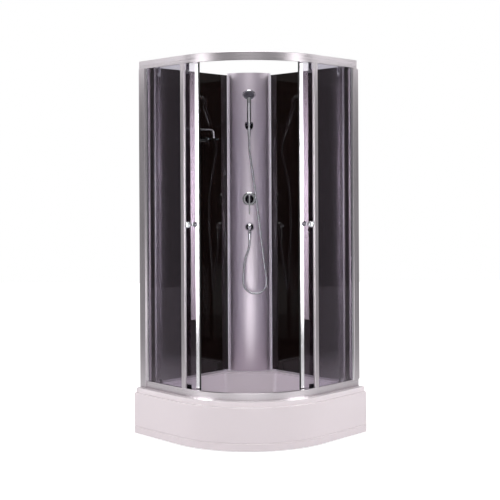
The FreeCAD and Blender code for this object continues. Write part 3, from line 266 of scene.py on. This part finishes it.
def moulded(name, colour, roughness, grain=400.0):
    """Injection-moulded plastic with a fine spark-eroded grain."""
    material, tree = empty_material(name)
    place = add(tree, "ShaderNodeTexCoord")
    speck = add(tree, "ShaderNodeTexNoise", {"Scale": grain, "Detail": 2.0},
                {"Vector": place.outputs["Object"]})
    bump = add(tree, "ShaderNodeBump", {"Strength": 0.1, "Distance": 0.0003},
               {"Height": speck.outputs["Fac"]})
    rough = span(tree, speck.outputs["Fac"], 0.3, 0.7, roughness - 0.05, roughness + 0.05)
    shader = add(tree, "ShaderNodeBsdfPrincipled", {"Base Color": linear(colour)},
                 {"Normal": bump.outputs["Normal"], "Roughness": rough.outputs["Result"]})
    finish_material(tree, shader.outputs["BSDF"])
    return material


def galvanised(name):
    """Hot-dip galvanised steel: grey with the zinc's patchy spangle."""
    material, tree = empty_material(name)
    place = add(tree, "ShaderNodeTexCoord")
    spangle = add(tree, "ShaderNodeTexVoronoi", {"Scale": 90.0},
                  {"Vector": place.outputs["Object"]})
    grey = ramp(tree, spangle.outputs["Distance"], [(0.0, "#8E9094"), (1.0, "#B4B6BA")])
    shader = add(tree, "ShaderNodeBsdfPrincipled", {"Metallic": 1.0, "Roughness": 0.45},
                 {"Base Color": grey.outputs["Color"]})
    finish_material(tree, shader.outputs["BSDF"])
    return material


def make_materials():
    c = colours()
    upright = (900.0, 900.0, 3.0)
    level = (4.0, 4.0, 900.0)
    return {
        "acrylic": acrylic("Sanitary acrylic, white", c.acrylic, 0.14),
        "apron": acrylic("Sanitary acrylic, apron", c.apron, 0.2),
        "rail": brushed("Anodised aluminium, satin rails", c.satin, 0.30, level),
        "post": brushed("Anodised aluminium, satin posts", c.satin, 0.30, upright),
        "bright": brushed("Anodised aluminium, bright", c.bright, 0.16, upright, 0.05),
        "column": brushed("Anodised aluminium, column", c.column, 0.34, upright),
        "strip": moulded("Extruded PVC, silver", "#F2EDF4", 0.32, 40.0),
        "tinted": clear_glass("Toughened glass, grey tint", c.tint, "#F2DCF0"),
        "shelf": clear_glass("Toughened glass, shelf", "#B9C4C6"),
        "dark": enamelled_glass("Enamelled glass, black", c.dark_glass),
        "chrome": chrome("Chrome plate", c.chrome, 0.05),
        # Black chrome, painted dark: on the knob plates behind the glass the darkness is painted
        # shade, on the handset holder a painted dark reflection.
        "smoked_and_painted_dark": chrome("Black chrome plate, painted dark", "#4A484E", 0.08),
        "brass": chrome("Cast brass", "#B48F4E", 0.45),
        "seal": moulded("Flexible seal, black", "#0E0D0F", 0.5),
        "nylon": moulded("Moulded nylon, black", "#1C1C1E", 0.42),
        "white": moulded("Moulded polypropylene, white", "#DADADC", 0.4),
        "grey": moulded("Moulded ABS, grey", "#6B6B72", 0.35),
        "steel": galvanised("Galvanised steel"),
        "zinc": chrome("Zinc plate", "#B9B9BC", 0.32),
    }


FINISHES = {
    "tray": "acrylic", "apron": "apron", "apron_clips": "zinc", "tray_frame": "steel",
    "foot_rods": "zinc", "foot_pads": "nylon", "foot_nuts": "zinc", "waste_body": "white",
    "waste_trap": "white", "waste_cover": "chrome", "bottom_rail": "rail", "top_rail": "rail",
    "side_post_left": "post", "side_post_right": "post", "wall_channels": "post",
    "edge_strips": "bright", "fixed_glass_left": "tinted", "fixed_glass_right": "tinted",
    "fixed_stiles": "post", "back_panel_left": "dark", "back_panel_right": "dark",
    "panel_trims": "bright", "column": "column", "column_strips": "strip",
    "column_braces": "steel", "mixer_body": "brass", "mixer_cartridge": "white",
    "mixer_escutcheon": "chrome", "mixer_cap": "smoked_and_painted_dark", "mixer_lever": "chrome",
    "feed_pipe": "brass", "outlet_elbow": "brass", "outlet_dome": "chrome",
    "hose_nut_lower": "chrome", "hose_nut_upper": "chrome", "handset": "chrome",
    # The handset holder is chrome; its black chrome is a painted dark reflection.
    "spray_face": "grey", "handset_holder": "smoked_and_painted_dark", "shelf_glass": "shelf",
    "shelf_rail": "chrome", "shelf_brackets": "chrome",
}
for side in ("left", "right"):
    FINISHES["door_glass_" + side] = "tinted"
    FINISHES["door_lead_stile_" + side] = "bright"
    FINISHES["door_trail_stile_" + side] = "post"
    FINISHES["door_seal_" + side] = "seal"
    FINISHES["door_knob_" + side] = "chrome"
    FINISHES["roller_lead_" + side] = "nylon"
    FINISHES["roller_trail_" + side] = "nylon"
    FINISHES["roller_arms_" + side] = "zinc"
    FINISHES["door_guides_" + side] = "nylon"

MATERIALS = {}               # filled by the Finishes operator, which runs before the fittings


# ---- hose -------------------------------------------------------------------------------

# The route's control points in metres, from the outlet's nut down, round and up to the handle.
HOSE_ROUTE = [
    (0, 0.32433, 1.0555), (0, 0.32433, 1.012), (-0.029, 0.31337, 0.940),
    (-0.037, 0.30237, 0.858), (-0.040, 0.29237, 0.780), (0.004, 0.28737, 0.735),
    (0.066, 0.28537, 0.738), (0.104, 0.28337, 0.786), (0.094, 0.28037, 0.862),
    (0.080, 0.27537, 0.958), (0.069, 0.26937, 1.060), (0.057, 0.26537, 1.160),
    (0.045, 0.26537, 1.258), (0.033, 0.27137, 1.356), (0.021, 0.28637, 1.452),
    (0.007, 0.30537, 1.542), (0, 0.32250, 1.62036), (0, 0.30334, 1.67933),
]
GROOVE = 0.07                    # depth of the joint between turns, as a share of the radius


def route_line(name, route):
    """The points of the smooth line that goes with a route's control points."""
    curve = bpy.data.curves.new(name, "CURVE")
    curve.dimensions = "3D"
    spline = curve.splines.new("NURBS")
    spline.points.add(len(route) - 1)
    for point, place in zip(spline.points, route):
        point.co = (*place, 1.0)
    spline.order_u = 3
    spline.use_endpoint_u = True
    spline.resolution_u = 24
    holder = bpy.data.objects.new(name, curve)
    bpy.context.scene.collection.objects.link(holder)
    mesh = bpy.data.meshes.new_from_object(holder)
    points = [vertex.co.copy() for vertex in mesh.vertices]
    bpy.data.meshes.remove(mesh)
    bpy.data.objects.remove(holder)
    bpy.data.curves.remove(curve)
    return points


def places_along(line, distances):
    """The point and the direction of a line at each of some rising distances along it."""
    found = []
    done, i = 0.0, 0
    for distance in distances:
        run = line[i + 1] - line[i]
        while done + run.length < distance and i < len(line) - 2:
            done += run.length
            i += 1
            run = line[i + 1] - line[i]
        found.append((line[i] + run * ((distance - done) / run.length), run.normalized()))
    return found


def ring_rows(bm, places, radii, segments, first_side):
    """Rings of vertices round a line, each turned as little as it can be from the last."""
    rows = []
    side = Vector(first_side)
    for (centre, ahead), radius in zip(places, radii):
        side = (side - ahead * side.dot(ahead)).normalized()
        up = ahead.cross(side)
        rows.append([
            bm.verts.new(centre + (side * math.cos(a) + up * math.sin(a)) * radius)
            for a in (2.0 * math.pi * k / segments for k in range(segments))])
    return rows


def hose_skin(bm, line, radius, pitch, segments=16):
    """A closed hose with a groove at each turn of its strip, and a UV along and round it."""
    length = sum((b - a).length for a, b in zip(line, line[1:]))
    turns = round(length / pitch)
    step = length / turns
    shape = ((0.0, 1.0 - GROOVE), (0.16, 1.0), (0.84, 1.0))
    distances = [(turn + share) * step for turn in range(turns) for share, _ in shape]
    radii = [radius * size for _ in range(turns) for _, size in shape]
    distances.append(length)
    radii.append(radius)
    rows = ring_rows(bm, places_along(line, distances), radii, segments, (1, 0, 0))
    uv = bm.loops.layers.uv.new("UVMap")
    for i, (low, high) in enumerate(zip(rows, rows[1:])):
        for k in range(segments):
            after = (k + 1) % segments
            face = bm.faces.new((low[k], low[after], high[after], high[k]))
            corners = ((i, k), (i, k + 1), (i + 1, k + 1), (i + 1, k))
            for loop, (row, column) in zip(face.loops, corners):
                loop[uv].uv = (distances[row] / length, column / segments)
    bm.faces.new(rows[0][::-1])
    bm.faces.new(rows[-1])


def hose_material(name):
    """Interlocked chromed strip, coloured with painted shade: chrome-bright mid-turn, darker
    towards each joint and near black in the joint line between turns.
    """
    material, tree = empty_material(name)
    place = add(tree, "ShaderNodeTexCoord")
    parts = add(tree, "ShaderNodeSeparateXYZ", links={"Vector": place.outputs["UV"]})
    turns = round(sizes().hose_length / sizes().hose_pitch)
    along = add(tree, "ShaderNodeMath", {"operation": "MULTIPLY", 1: turns},
                {0: parts.outputs["X"]})
    saw = add(tree, "ShaderNodeMath", {"operation": "FRACT"}, {0: along.outputs["Value"]})
    away = add(tree, "ShaderNodeMath", {"operation": "SUBTRACT", 1: 0.5},
               {0: saw.outputs["Value"]})
    arch = add(tree, "ShaderNodeMath", {"operation": "ABSOLUTE"}, {0: away.outputs["Value"]})
    # Painted shade: from chrome-bright mid-turn the colour darkens towards each joint and is near
    # black in the groove.
    shade = ramp(tree, arch.outputs["Value"],
                 [(0.0, "#E2E2E6"), (0.38, "#C9C9CF"), (0.5, "#3A3A40")])
    shader = add(tree, "ShaderNodeBsdfPrincipled", {"Metallic": 1.0, "Roughness": 0.18},
                 {"Base Color": shade.outputs["Color"]})
    finish_material(tree, shader.outputs["BSDF"])
    return material


class SHOWER_OT_hose(bpy.types.Operator):
    """Make the metal hose from the outlet's nut to the hand shower"""
    bl_idname = "shower.hose"
    bl_label = "Hose"

    def execute(self, context):
        size = sizes()
        line = route_line("hose_line", HOSE_ROUTE)
        bm = bmesh.new()
        hose_skin(bm, line, size.hose_diameter / 2.0, size.hose_pitch)
        piece = mesh_object("shower_hose", bm, hose_material("Interlocked hose, chromed"))
        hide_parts("hose")
        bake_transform(piece)
        return {"FINISHED"}


# ---- turned fittings -----------------------------------------------------------------------

def facing(place, ahead):
    """The placing that puts local Z on a direction, with local X level."""
    z = Vector(ahead).normalized()
    x = Vector((0, 0, 1)).cross(z)
    x = x.normalized() if x.length > 1e-6 else Vector((1, 0, 0))
    y = z.cross(x)
    turn = Matrix((x, y, z)).transposed().to_4x4()
    return Matrix.Translation(Vector(place)) @ turn


def turned(bm, profile, segments, placing):
    """Spin a profile of (radius, height) that starts and ends on the axis, once round local Z.

    Vertices already in place are tagged, so that each call moves only its own."""
    points = [bm.verts.new((radius, 0, height)) for radius, height in profile]
    edges = [bm.edges.new(pair) for pair in zip(points, points[1:])]
    bmesh.ops.spin(bm, geom=points + edges, cent=(0, 0, 0), axis=(0, 0, 1),
                   angle=2.0 * math.pi, steps=segments, use_merge=True,
                   use_normal_flip=False, use_duplicate=False)
    bmesh.ops.remove_doubles(bm, verts=[v for v in bm.verts if not v.tag], dist=1e-6)
    own = [v for v in bm.verts if not v.tag]
    bmesh.ops.transform(bm, matrix=placing, verts=own)
    for vertex in own:
        vertex.tag = True


# Profiles are (radius, height) in metres along the fitting's own axis.
HEAD_CENTRE = (0, 0.22612, 1.917)          # the middle of the hand shower's front rim
HEAD_WAY = (0, -0.6157, -0.7880)           # where the spray face looks
SPRAY_PROFILE = [
    (0, -0.003), (0.0329, -0.003), (0.0329, 0), (0.0318, 0.0006), (0.0302, 0.0006),
    (0.0298, -0.0004), (0.0106, -0.0004), (0.0102, 0.0008), (0.0085, 0.0011), (0, 0.0012),
]
NOZZLE_RINGS = ((0.0135, 8), (0.0200, 14), (0.0262, 20))    # radius and number of nozzles
NOZZLE_FOOT = -0.0006                      # a nozzle starts just inside the face
NOZZLE_SHOULDER = 0.0012
NOZZLE_TIP = 0.0016


class SHOWER_OT_spray_face(bpy.types.Operator):
    """Make the hand shower's spray face with its rings of rubber nozzles"""
    bl_idname = "shower.spray_face"
    bl_label = "Spray face"

    def execute(self, context):
        placing = facing(HEAD_CENTRE, HEAD_WAY)
        bm = bmesh.new()
        turned(bm, SPRAY_PROFILE, 64, placing)
        face = mesh_object("spray_face_disc", bm, MATERIALS["grey"])
        radius = sizes().nozzle_radius
        nozzle = [(0, 0), (radius, 0), (radius * 0.8, NOZZLE_SHOULDER),
                  (radius * 0.4, NOZZLE_TIP), (0, NOZZLE_TIP)]
        bm = bmesh.new()
        for ring, count in NOZZLE_RINGS:
            for k in range(count):
                angle = 2.0 * math.pi * k / count
                spot = (ring * math.cos(angle), ring * math.sin(angle), NOZZLE_FOOT)
                turned(bm, nozzle, 8, placing @ Matrix.Translation(spot))
        nozzles = mesh_object("spray_face_nozzles", bm, MATERIALS["seal"])
        for piece in (face, nozzles):
            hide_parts("spray_face")
            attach(piece, "hand_shower")
        return {"FINISHED"}


KNOB_FOOT = (-0.30710, -0.33468, 1.172)    # where the left knob's axis leaves the door's face
KNOB_WAY = (-0.4660, -0.8848, 0)
GLASS_BACK = -0.0054                       # the glass's inner face and its play
KNOB_PROFILE = [
    (0, 0.0001), (0.0086, 0.0001), (0.0090, 0.0008), (0.0090, 0.0024), (0.0078, 0.0036),
    (0.0045, 0.0060), (0.0045, 0.0300), (0.0090, 0.0340), (0.0146, 0.0355), (0.0164, 0.0380),
    (0.0170, 0.0412), (0.0170, 0.0470), (0.0163, 0.0496), (0.0146, 0.0518), (0.0118, 0.0532),
    (0.0080, 0.0541), (0, 0.0545),
]
INNER_KNOB_PROFILE = [                     # radius, and depth behind the glass
    (0, 0.016), (0.0080, 0.016), (0.0100, 0.0146), (0.0110, 0.0120), (0.0110, 0.0080),
    (0.0060, 0.0040), (0, 0.0040),
]
PLATE_SIDE = [(0, -0.040), (0.0030, -0.018), (0.0120, -0.004), (0.0120, 0.004),
              (0.0030, 0.018), (0, 0.040)]    # one side of the spindle: across, up
PLATE_THICK = 0.003
PLATE_BEVEL = 0.0004


class SHOWER_OT_knobs(bpy.types.Operator):
    """Make the two door knobs with the spindle-shaped plates behind the glass, dark with painted
    shade
    """
    bl_idname = "shower.knobs"
    bl_label = "Door knobs"

    def execute(self, context):
        for side, sign in (("left", 1.0), ("right", -1.0)):
            foot = (KNOB_FOOT[0] * sign, *KNOB_FOOT[1:])
            placing = facing(foot, (KNOB_WAY[0] * sign, *KNOB_WAY[1:]))
            bm = bmesh.new()
            turned(bm, KNOB_PROFILE, 64, placing)
            turned(bm, [(radius, GLASS_BACK - depth) for radius, depth in INNER_KNOB_PROFILE],
                   48, placing)
            knob = mesh_object("door_knob_chrome_" + side, bm, MATERIALS["chrome"])
            bm = bmesh.new()
            rim = PLATE_SIDE + [(-across, -up) for across, up in PLATE_SIDE[1:-1]]
            outline = [bm.verts.new((across, up, GLASS_BACK - PLATE_THICK)) for across, up in rim]
            plate = bm.faces.new(outline)
            grown = bmesh.ops.extrude_face_region(bm, geom=[plate])
            raised = [v for v in grown["geom"] if isinstance(v, bmesh.types.BMVert)]
            bmesh.ops.translate(bm, verts=raised, vec=(0, 0, PLATE_THICK))
            bmesh.ops.bevel(bm, geom=list(bm.edges), offset=PLATE_BEVEL, offset_type="OFFSET",
                            affect="EDGES", segments=2, profile=0.5, material=-1)
            bmesh.ops.transform(bm, matrix=placing, verts=bm.verts)
            # The spindle plate sits in the shade behind the glass; its black chrome is painted
            # shade.
            spindle = mesh_object("door_knob_plate_" + side, bm, MATERIALS["smoked_and_painted_dark"], smooth=False)
            for piece in (knob, spindle):
                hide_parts("door_knob_" + side)
                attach(piece, "door_" + side)
        return {"FINISHED"}


COVER_SEAT = (0, -0.02866, 0.115)          # the middle of the cover's seat in the tray
COVER_PROFILE = [
    (0, 0.0090), (0.0440, 0.0070), (0.0490, 0), (0.0520, 0), (0.0517, 0.0030),
    (0.0505, 0.0062), (0.0480, 0.0090), (0.0445, 0.0108), (0.0400, 0.0118), (0.0390, 0.0112),
    (0.0384, 0.0112), (0.0374, 0.0121), (0.0200, 0.0128), (0, 0.0130),
]


class SHOWER_OT_waste_cover(bpy.types.Operator):
    """Make the waste cover: a domed chrome cap with a fine groove near its edge"""
    bl_idname = "shower.waste_cover"
    bl_label = "Waste cover"

    def execute(self, context):
        bm = bmesh.new()
        turned(bm, COVER_PROFILE, 96, Matrix.Translation(COVER_SEAT))
        cover = mesh_object("waste_cover_cap", bm, MATERIALS["chrome"])
        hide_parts("waste_cover")
        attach(cover, "drain_cover")
        return {"FINISHED"}


# ---- finishes of the CAD pieces ------------------------------------------------------------

class SHOWER_OT_finishes(bpy.types.Operator):
    """Give every carried-over piece its real finish"""
    bl_idname = "shower.finishes"
    bl_label = "Finishes"

    def execute(self, context):
        MATERIALS.update(make_materials())
        for node, finish in FINISHES.items():
            paint(node, MATERIALS[finish])
        return {"FINISHED"}


# ---- stage -----------------------------------------------------------------------------------

CAMERA_DISTANCE = 5.6916     # in front of the row's origin
CAMERA_HEIGHT = 1.3538
SENSOR_WIDTH = 36.0          # mm
CAMERA_LENS = 72.03          # mm
CAMERA_SHIFT = (0.0012, -0.1194)
CAMERA_ROLL = 0.0051         # radians
ROOM_FRONT = 0.32            # brightness of the studio behind the camera
ROOM_SIDES = 0.17            # to the left and right
ROOM_BACK = 0.85             # and of its white back wall
FRONT_WAYS = (-0.9, -0.5)    # a direction's Y share between which the front fades out
BACK_WAYS = (0.15, 0.8)      # and between which the back wall comes up
FLOOR_SIZE = 9.0             # half the floor's width
SHADE = 0.68                 # how white the floor looks under the object
SHADE_REACH = (0.6, 2.4)     # metres from the middle over which it turns fully white
FLOOR_FRONT = 0.9            # how bright gloss shows the floor in front of the doorway
FLOOR_SIDES = 0.3            # and far to its left and right
FLOOR_REACH = (1.7, 3.2)     # metres to the side over which the one turns into the other
SIDE_FADE = (0.45, 1.5, 0.1)    # share of a side lamp's light at its foot, middle and top


def lamp(name, place, target, width, height, power, fade=None):
    """A softbox; fade gives the share of light at its foot, its middle and its top."""
    light = bpy.data.lights.new(name, "AREA")
    light.shape = "RECTANGLE"
    light.size = width
    light.size_y = height
    light.energy = power
    if fade:
        light.use_nodes = True
        tree = light.node_tree
        tree.nodes.clear()
        surface = add(tree, "ShaderNodeNewGeometry")
        place_on = add(tree, "ShaderNodeSeparateXYZ",
                       links={"Vector": surface.outputs["Parametric"]})
        low = span(tree, place_on.outputs["Y"], 0.0, 0.5, fade[0], fade[1])
        high = span(tree, place_on.outputs["Y"], 0.5, 1.0, 0.0, fade[2] - fade[1])
        both = combine(tree, "ADD", low.outputs["Result"], high.outputs["Result"])
        glow = add(tree, "ShaderNodeEmission", links={"Strength": both.outputs["Value"]})
        add(tree, "ShaderNodeOutputLight", links={"Surface": glow.outputs["Emission"]})
    holder = bpy.data.objects.new(name, light)
    holder.location = place
    aim = Vector(target) - Vector(place)
    holder.rotation_euler = aim.to_track_quat("-Z", "Y").to_euler()
    bpy.context.scene.collection.objects.link(holder)
    return holder


def seen_directly(tree, path):
    """1 for what the camera sees, also through glass, and 0 for mirrored and other light."""
    unmirrored = add(tree, "ShaderNodeMath", {"operation": "LESS_THAN", 1: 0.5},
                     {0: path.outputs["Glossy Depth"]})
    through = combine(tree, "MULTIPLY", path.outputs["Is Transmission Ray"],
                      unmirrored.outputs["Value"])
    return combine(tree, "MAXIMUM", path.outputs["Is Camera Ray"], through.outputs["Value"])


def floor_material():
    """White paper to the eye, pale in the object's shadow; gloss shows it near the object."""
    material, tree = empty_material("Pale paper floor")
    path = add(tree, "ShaderNodeLightPath")
    sees = seen_directly(tree, path)
    place = add(tree, "ShaderNodeTexCoord")
    far = add(tree, "ShaderNodeVectorMath", {"operation": "LENGTH"},
              {0: place.outputs["Object"]})
    parts = add(tree, "ShaderNodeSeparateXYZ", links={"Vector": place.outputs["Object"]})
    aside = add(tree, "ShaderNodeMath", {"operation": "ABSOLUTE"}, {0: parts.outputs["X"]})
    lift = span(tree, far.outputs["Value"], *SHADE_REACH, SHADE, 1.0)
    fade = span(tree, aside.outputs["Value"], *FLOOR_REACH, FLOOR_FRONT, FLOOR_SIDES)
    direct = combine(tree, "MULTIPLY", sees.outputs["Value"], lift.outputs["Result"])
    paper = add(tree, "ShaderNodeBsdfPrincipled",
                {"Base Color": linear("#E4E2E4"), "Roughness": 0.9, "Specular IOR Level": 0.0,
                 "Emission Color": linear("#FFFFFF")},
                {"Emission Strength": direct.outputs["Value"]})
    mirrored = add(tree, "ShaderNodeEmission", {"Color": linear("#FFFFFF")},
                   {"Strength": fade.outputs["Result"]})
    shader = add(tree, "ShaderNodeMixShader", links={
        0: path.outputs["Is Glossy Ray"], 1: paper.outputs["BSDF"],
        2: mirrored.outputs["Emission"]})
    finish_material(tree, shader.outputs["Shader"])
    return material


class SHOWER_OT_stage(bpy.types.Operator):
    """Set the floor, the studio light and the camera"""
    bl_idname = "shower.stage"
    bl_label = "Stage"

    def execute(self, context):
        scene = context.scene
        bm = bmesh.new()
        bmesh.ops.create_grid(bm, x_segments=1, y_segments=1, size=FLOOR_SIZE)
        floor = mesh_object("floor", bm, floor_material(), smooth=False)

        world = bpy.data.worlds.new("Studio")
        scene.world = world
        world.use_nodes = True
        tree = world.node_tree
        tree.nodes.clear()
        path = add(tree, "ShaderNodeLightPath")
        sees = seen_directly(tree, path)
        way = add(tree, "ShaderNodeTexCoord")
        parts = add(tree, "ShaderNodeSeparateXYZ", links={"Vector": way.outputs["Generated"]})
        back = span(tree, parts.outputs["Y"], *BACK_WAYS, ROOM_SIDES, ROOM_BACK)
        front = span(tree, parts.outputs["Y"], *FRONT_WAYS, ROOM_FRONT - ROOM_SIDES, 0.0)
        room = combine(tree, "ADD", back.outputs["Result"], front.outputs["Result"])
        lack = add(tree, "ShaderNodeMath", {"operation": "SUBTRACT", 0: 1.0},
                   {1: room.outputs["Value"]})
        rise = combine(tree, "MULTIPLY", lack.outputs["Value"], sees.outputs["Value"])
        strength = combine(tree, "ADD", room.outputs["Value"], rise.outputs["Value"])
        sky = add(tree, "ShaderNodeBackground", {"Color": linear("#FFFFFF")},
                  {"Strength": strength.outputs["Value"]})
        add(tree, "ShaderNodeOutputWorld", links={"Surface": sky.outputs["Background"]})

        for name, side in (("left", -1.0), ("right", 1.0)):
            lamp("side_" + name, place=(3.1 * side, -2.1, 1.38), target=(0.2 * side, -0.3, 1.33),
                 width=1.1, height=2.3, power=66.0, fade=SIDE_FADE)
            high = lamp("high_" + name, place=(3.3 * side, 0.2, 3.1), target=(0.6 * side, 0, 2.0),
                        width=1.6, height=0.9, power=20.0)
            high.visible_diffuse = False    # it only draws lights on the metal
        lamp("front", place=(0, -6.5, 4.4), target=(0, 0, 0.6), width=3.4, height=2.0, power=24.0)
        low = lamp("low", place=(0, -3.4, 0.35), target=(0, 0.3, 0.5),
                   width=1.8, height=0.5, power=5.0)
        low.visible_diffuse = False
        lamp("top", place=(0, -0.6, 4.6), target=(0, 0, 0.2), width=2.2, height=2.2, power=62.0)

        camera = bpy.data.cameras.new("camera")
        camera.lens = CAMERA_LENS
        camera.sensor_width = SENSOR_WIDTH
        camera.shift_x, camera.shift_y = CAMERA_SHIFT
        camera.clip_end = 50.0
        holder = bpy.data.objects.new("camera", camera)
        holder.location = (0, -CAMERA_DISTANCE, CAMERA_HEIGHT)
        holder.rotation_euler = (math.radians(90.0), CAMERA_ROLL, 0)
        scene.collection.objects.link(holder)
        scene.camera = holder
        scene.view_settings.view_transform = "Standard"
        return {"FINISHED"}


class SHOWER_PT_panel(bpy.types.Panel):
    """Lists the steps that dress the shower cabin"""
    bl_idname = "SHOWER_PT_panel"
    bl_label = "Shower cabin"
    bl_space_type = "VIEW_3D"
    bl_region_type = "UI"
    bl_category = "Shower"

    def draw(self, context):
        for operator in OPERATORS:
            self.layout.operator(operator.bl_idname)


OPERATORS = (SHOWER_OT_stage, SHOWER_OT_hose, SHOWER_OT_finishes, SHOWER_OT_spray_face,
             SHOWER_OT_knobs, SHOWER_OT_waste_cover)
CLASSES = (ShowerSizes, ShowerColours, *OPERATORS, SHOWER_PT_panel)


def register():
    for cls in CLASSES:
        bpy.utils.register_class(cls)
    bpy.types.Scene.shower_sizes = bpy.props.PointerProperty(type=ShowerSizes)
    bpy.types.Scene.shower_colours = bpy.props.PointerProperty(type=ShowerColours)


def unregister():
    del bpy.types.Scene.shower_colours
    del bpy.types.Scene.shower_sizes
    for cls in reversed(CLASSES):
        bpy.utils.unregister_class(cls)


def main():
    register()
    bpy.ops.shower.stage()
    bpy.ops.shower.hose()
    bpy.ops.shower.finishes()
    bpy.ops.shower.spray_face()
    bpy.ops.shower.knobs()
    bpy.ops.shower.waste_cover()


if __name__ == "__main__":
    main()
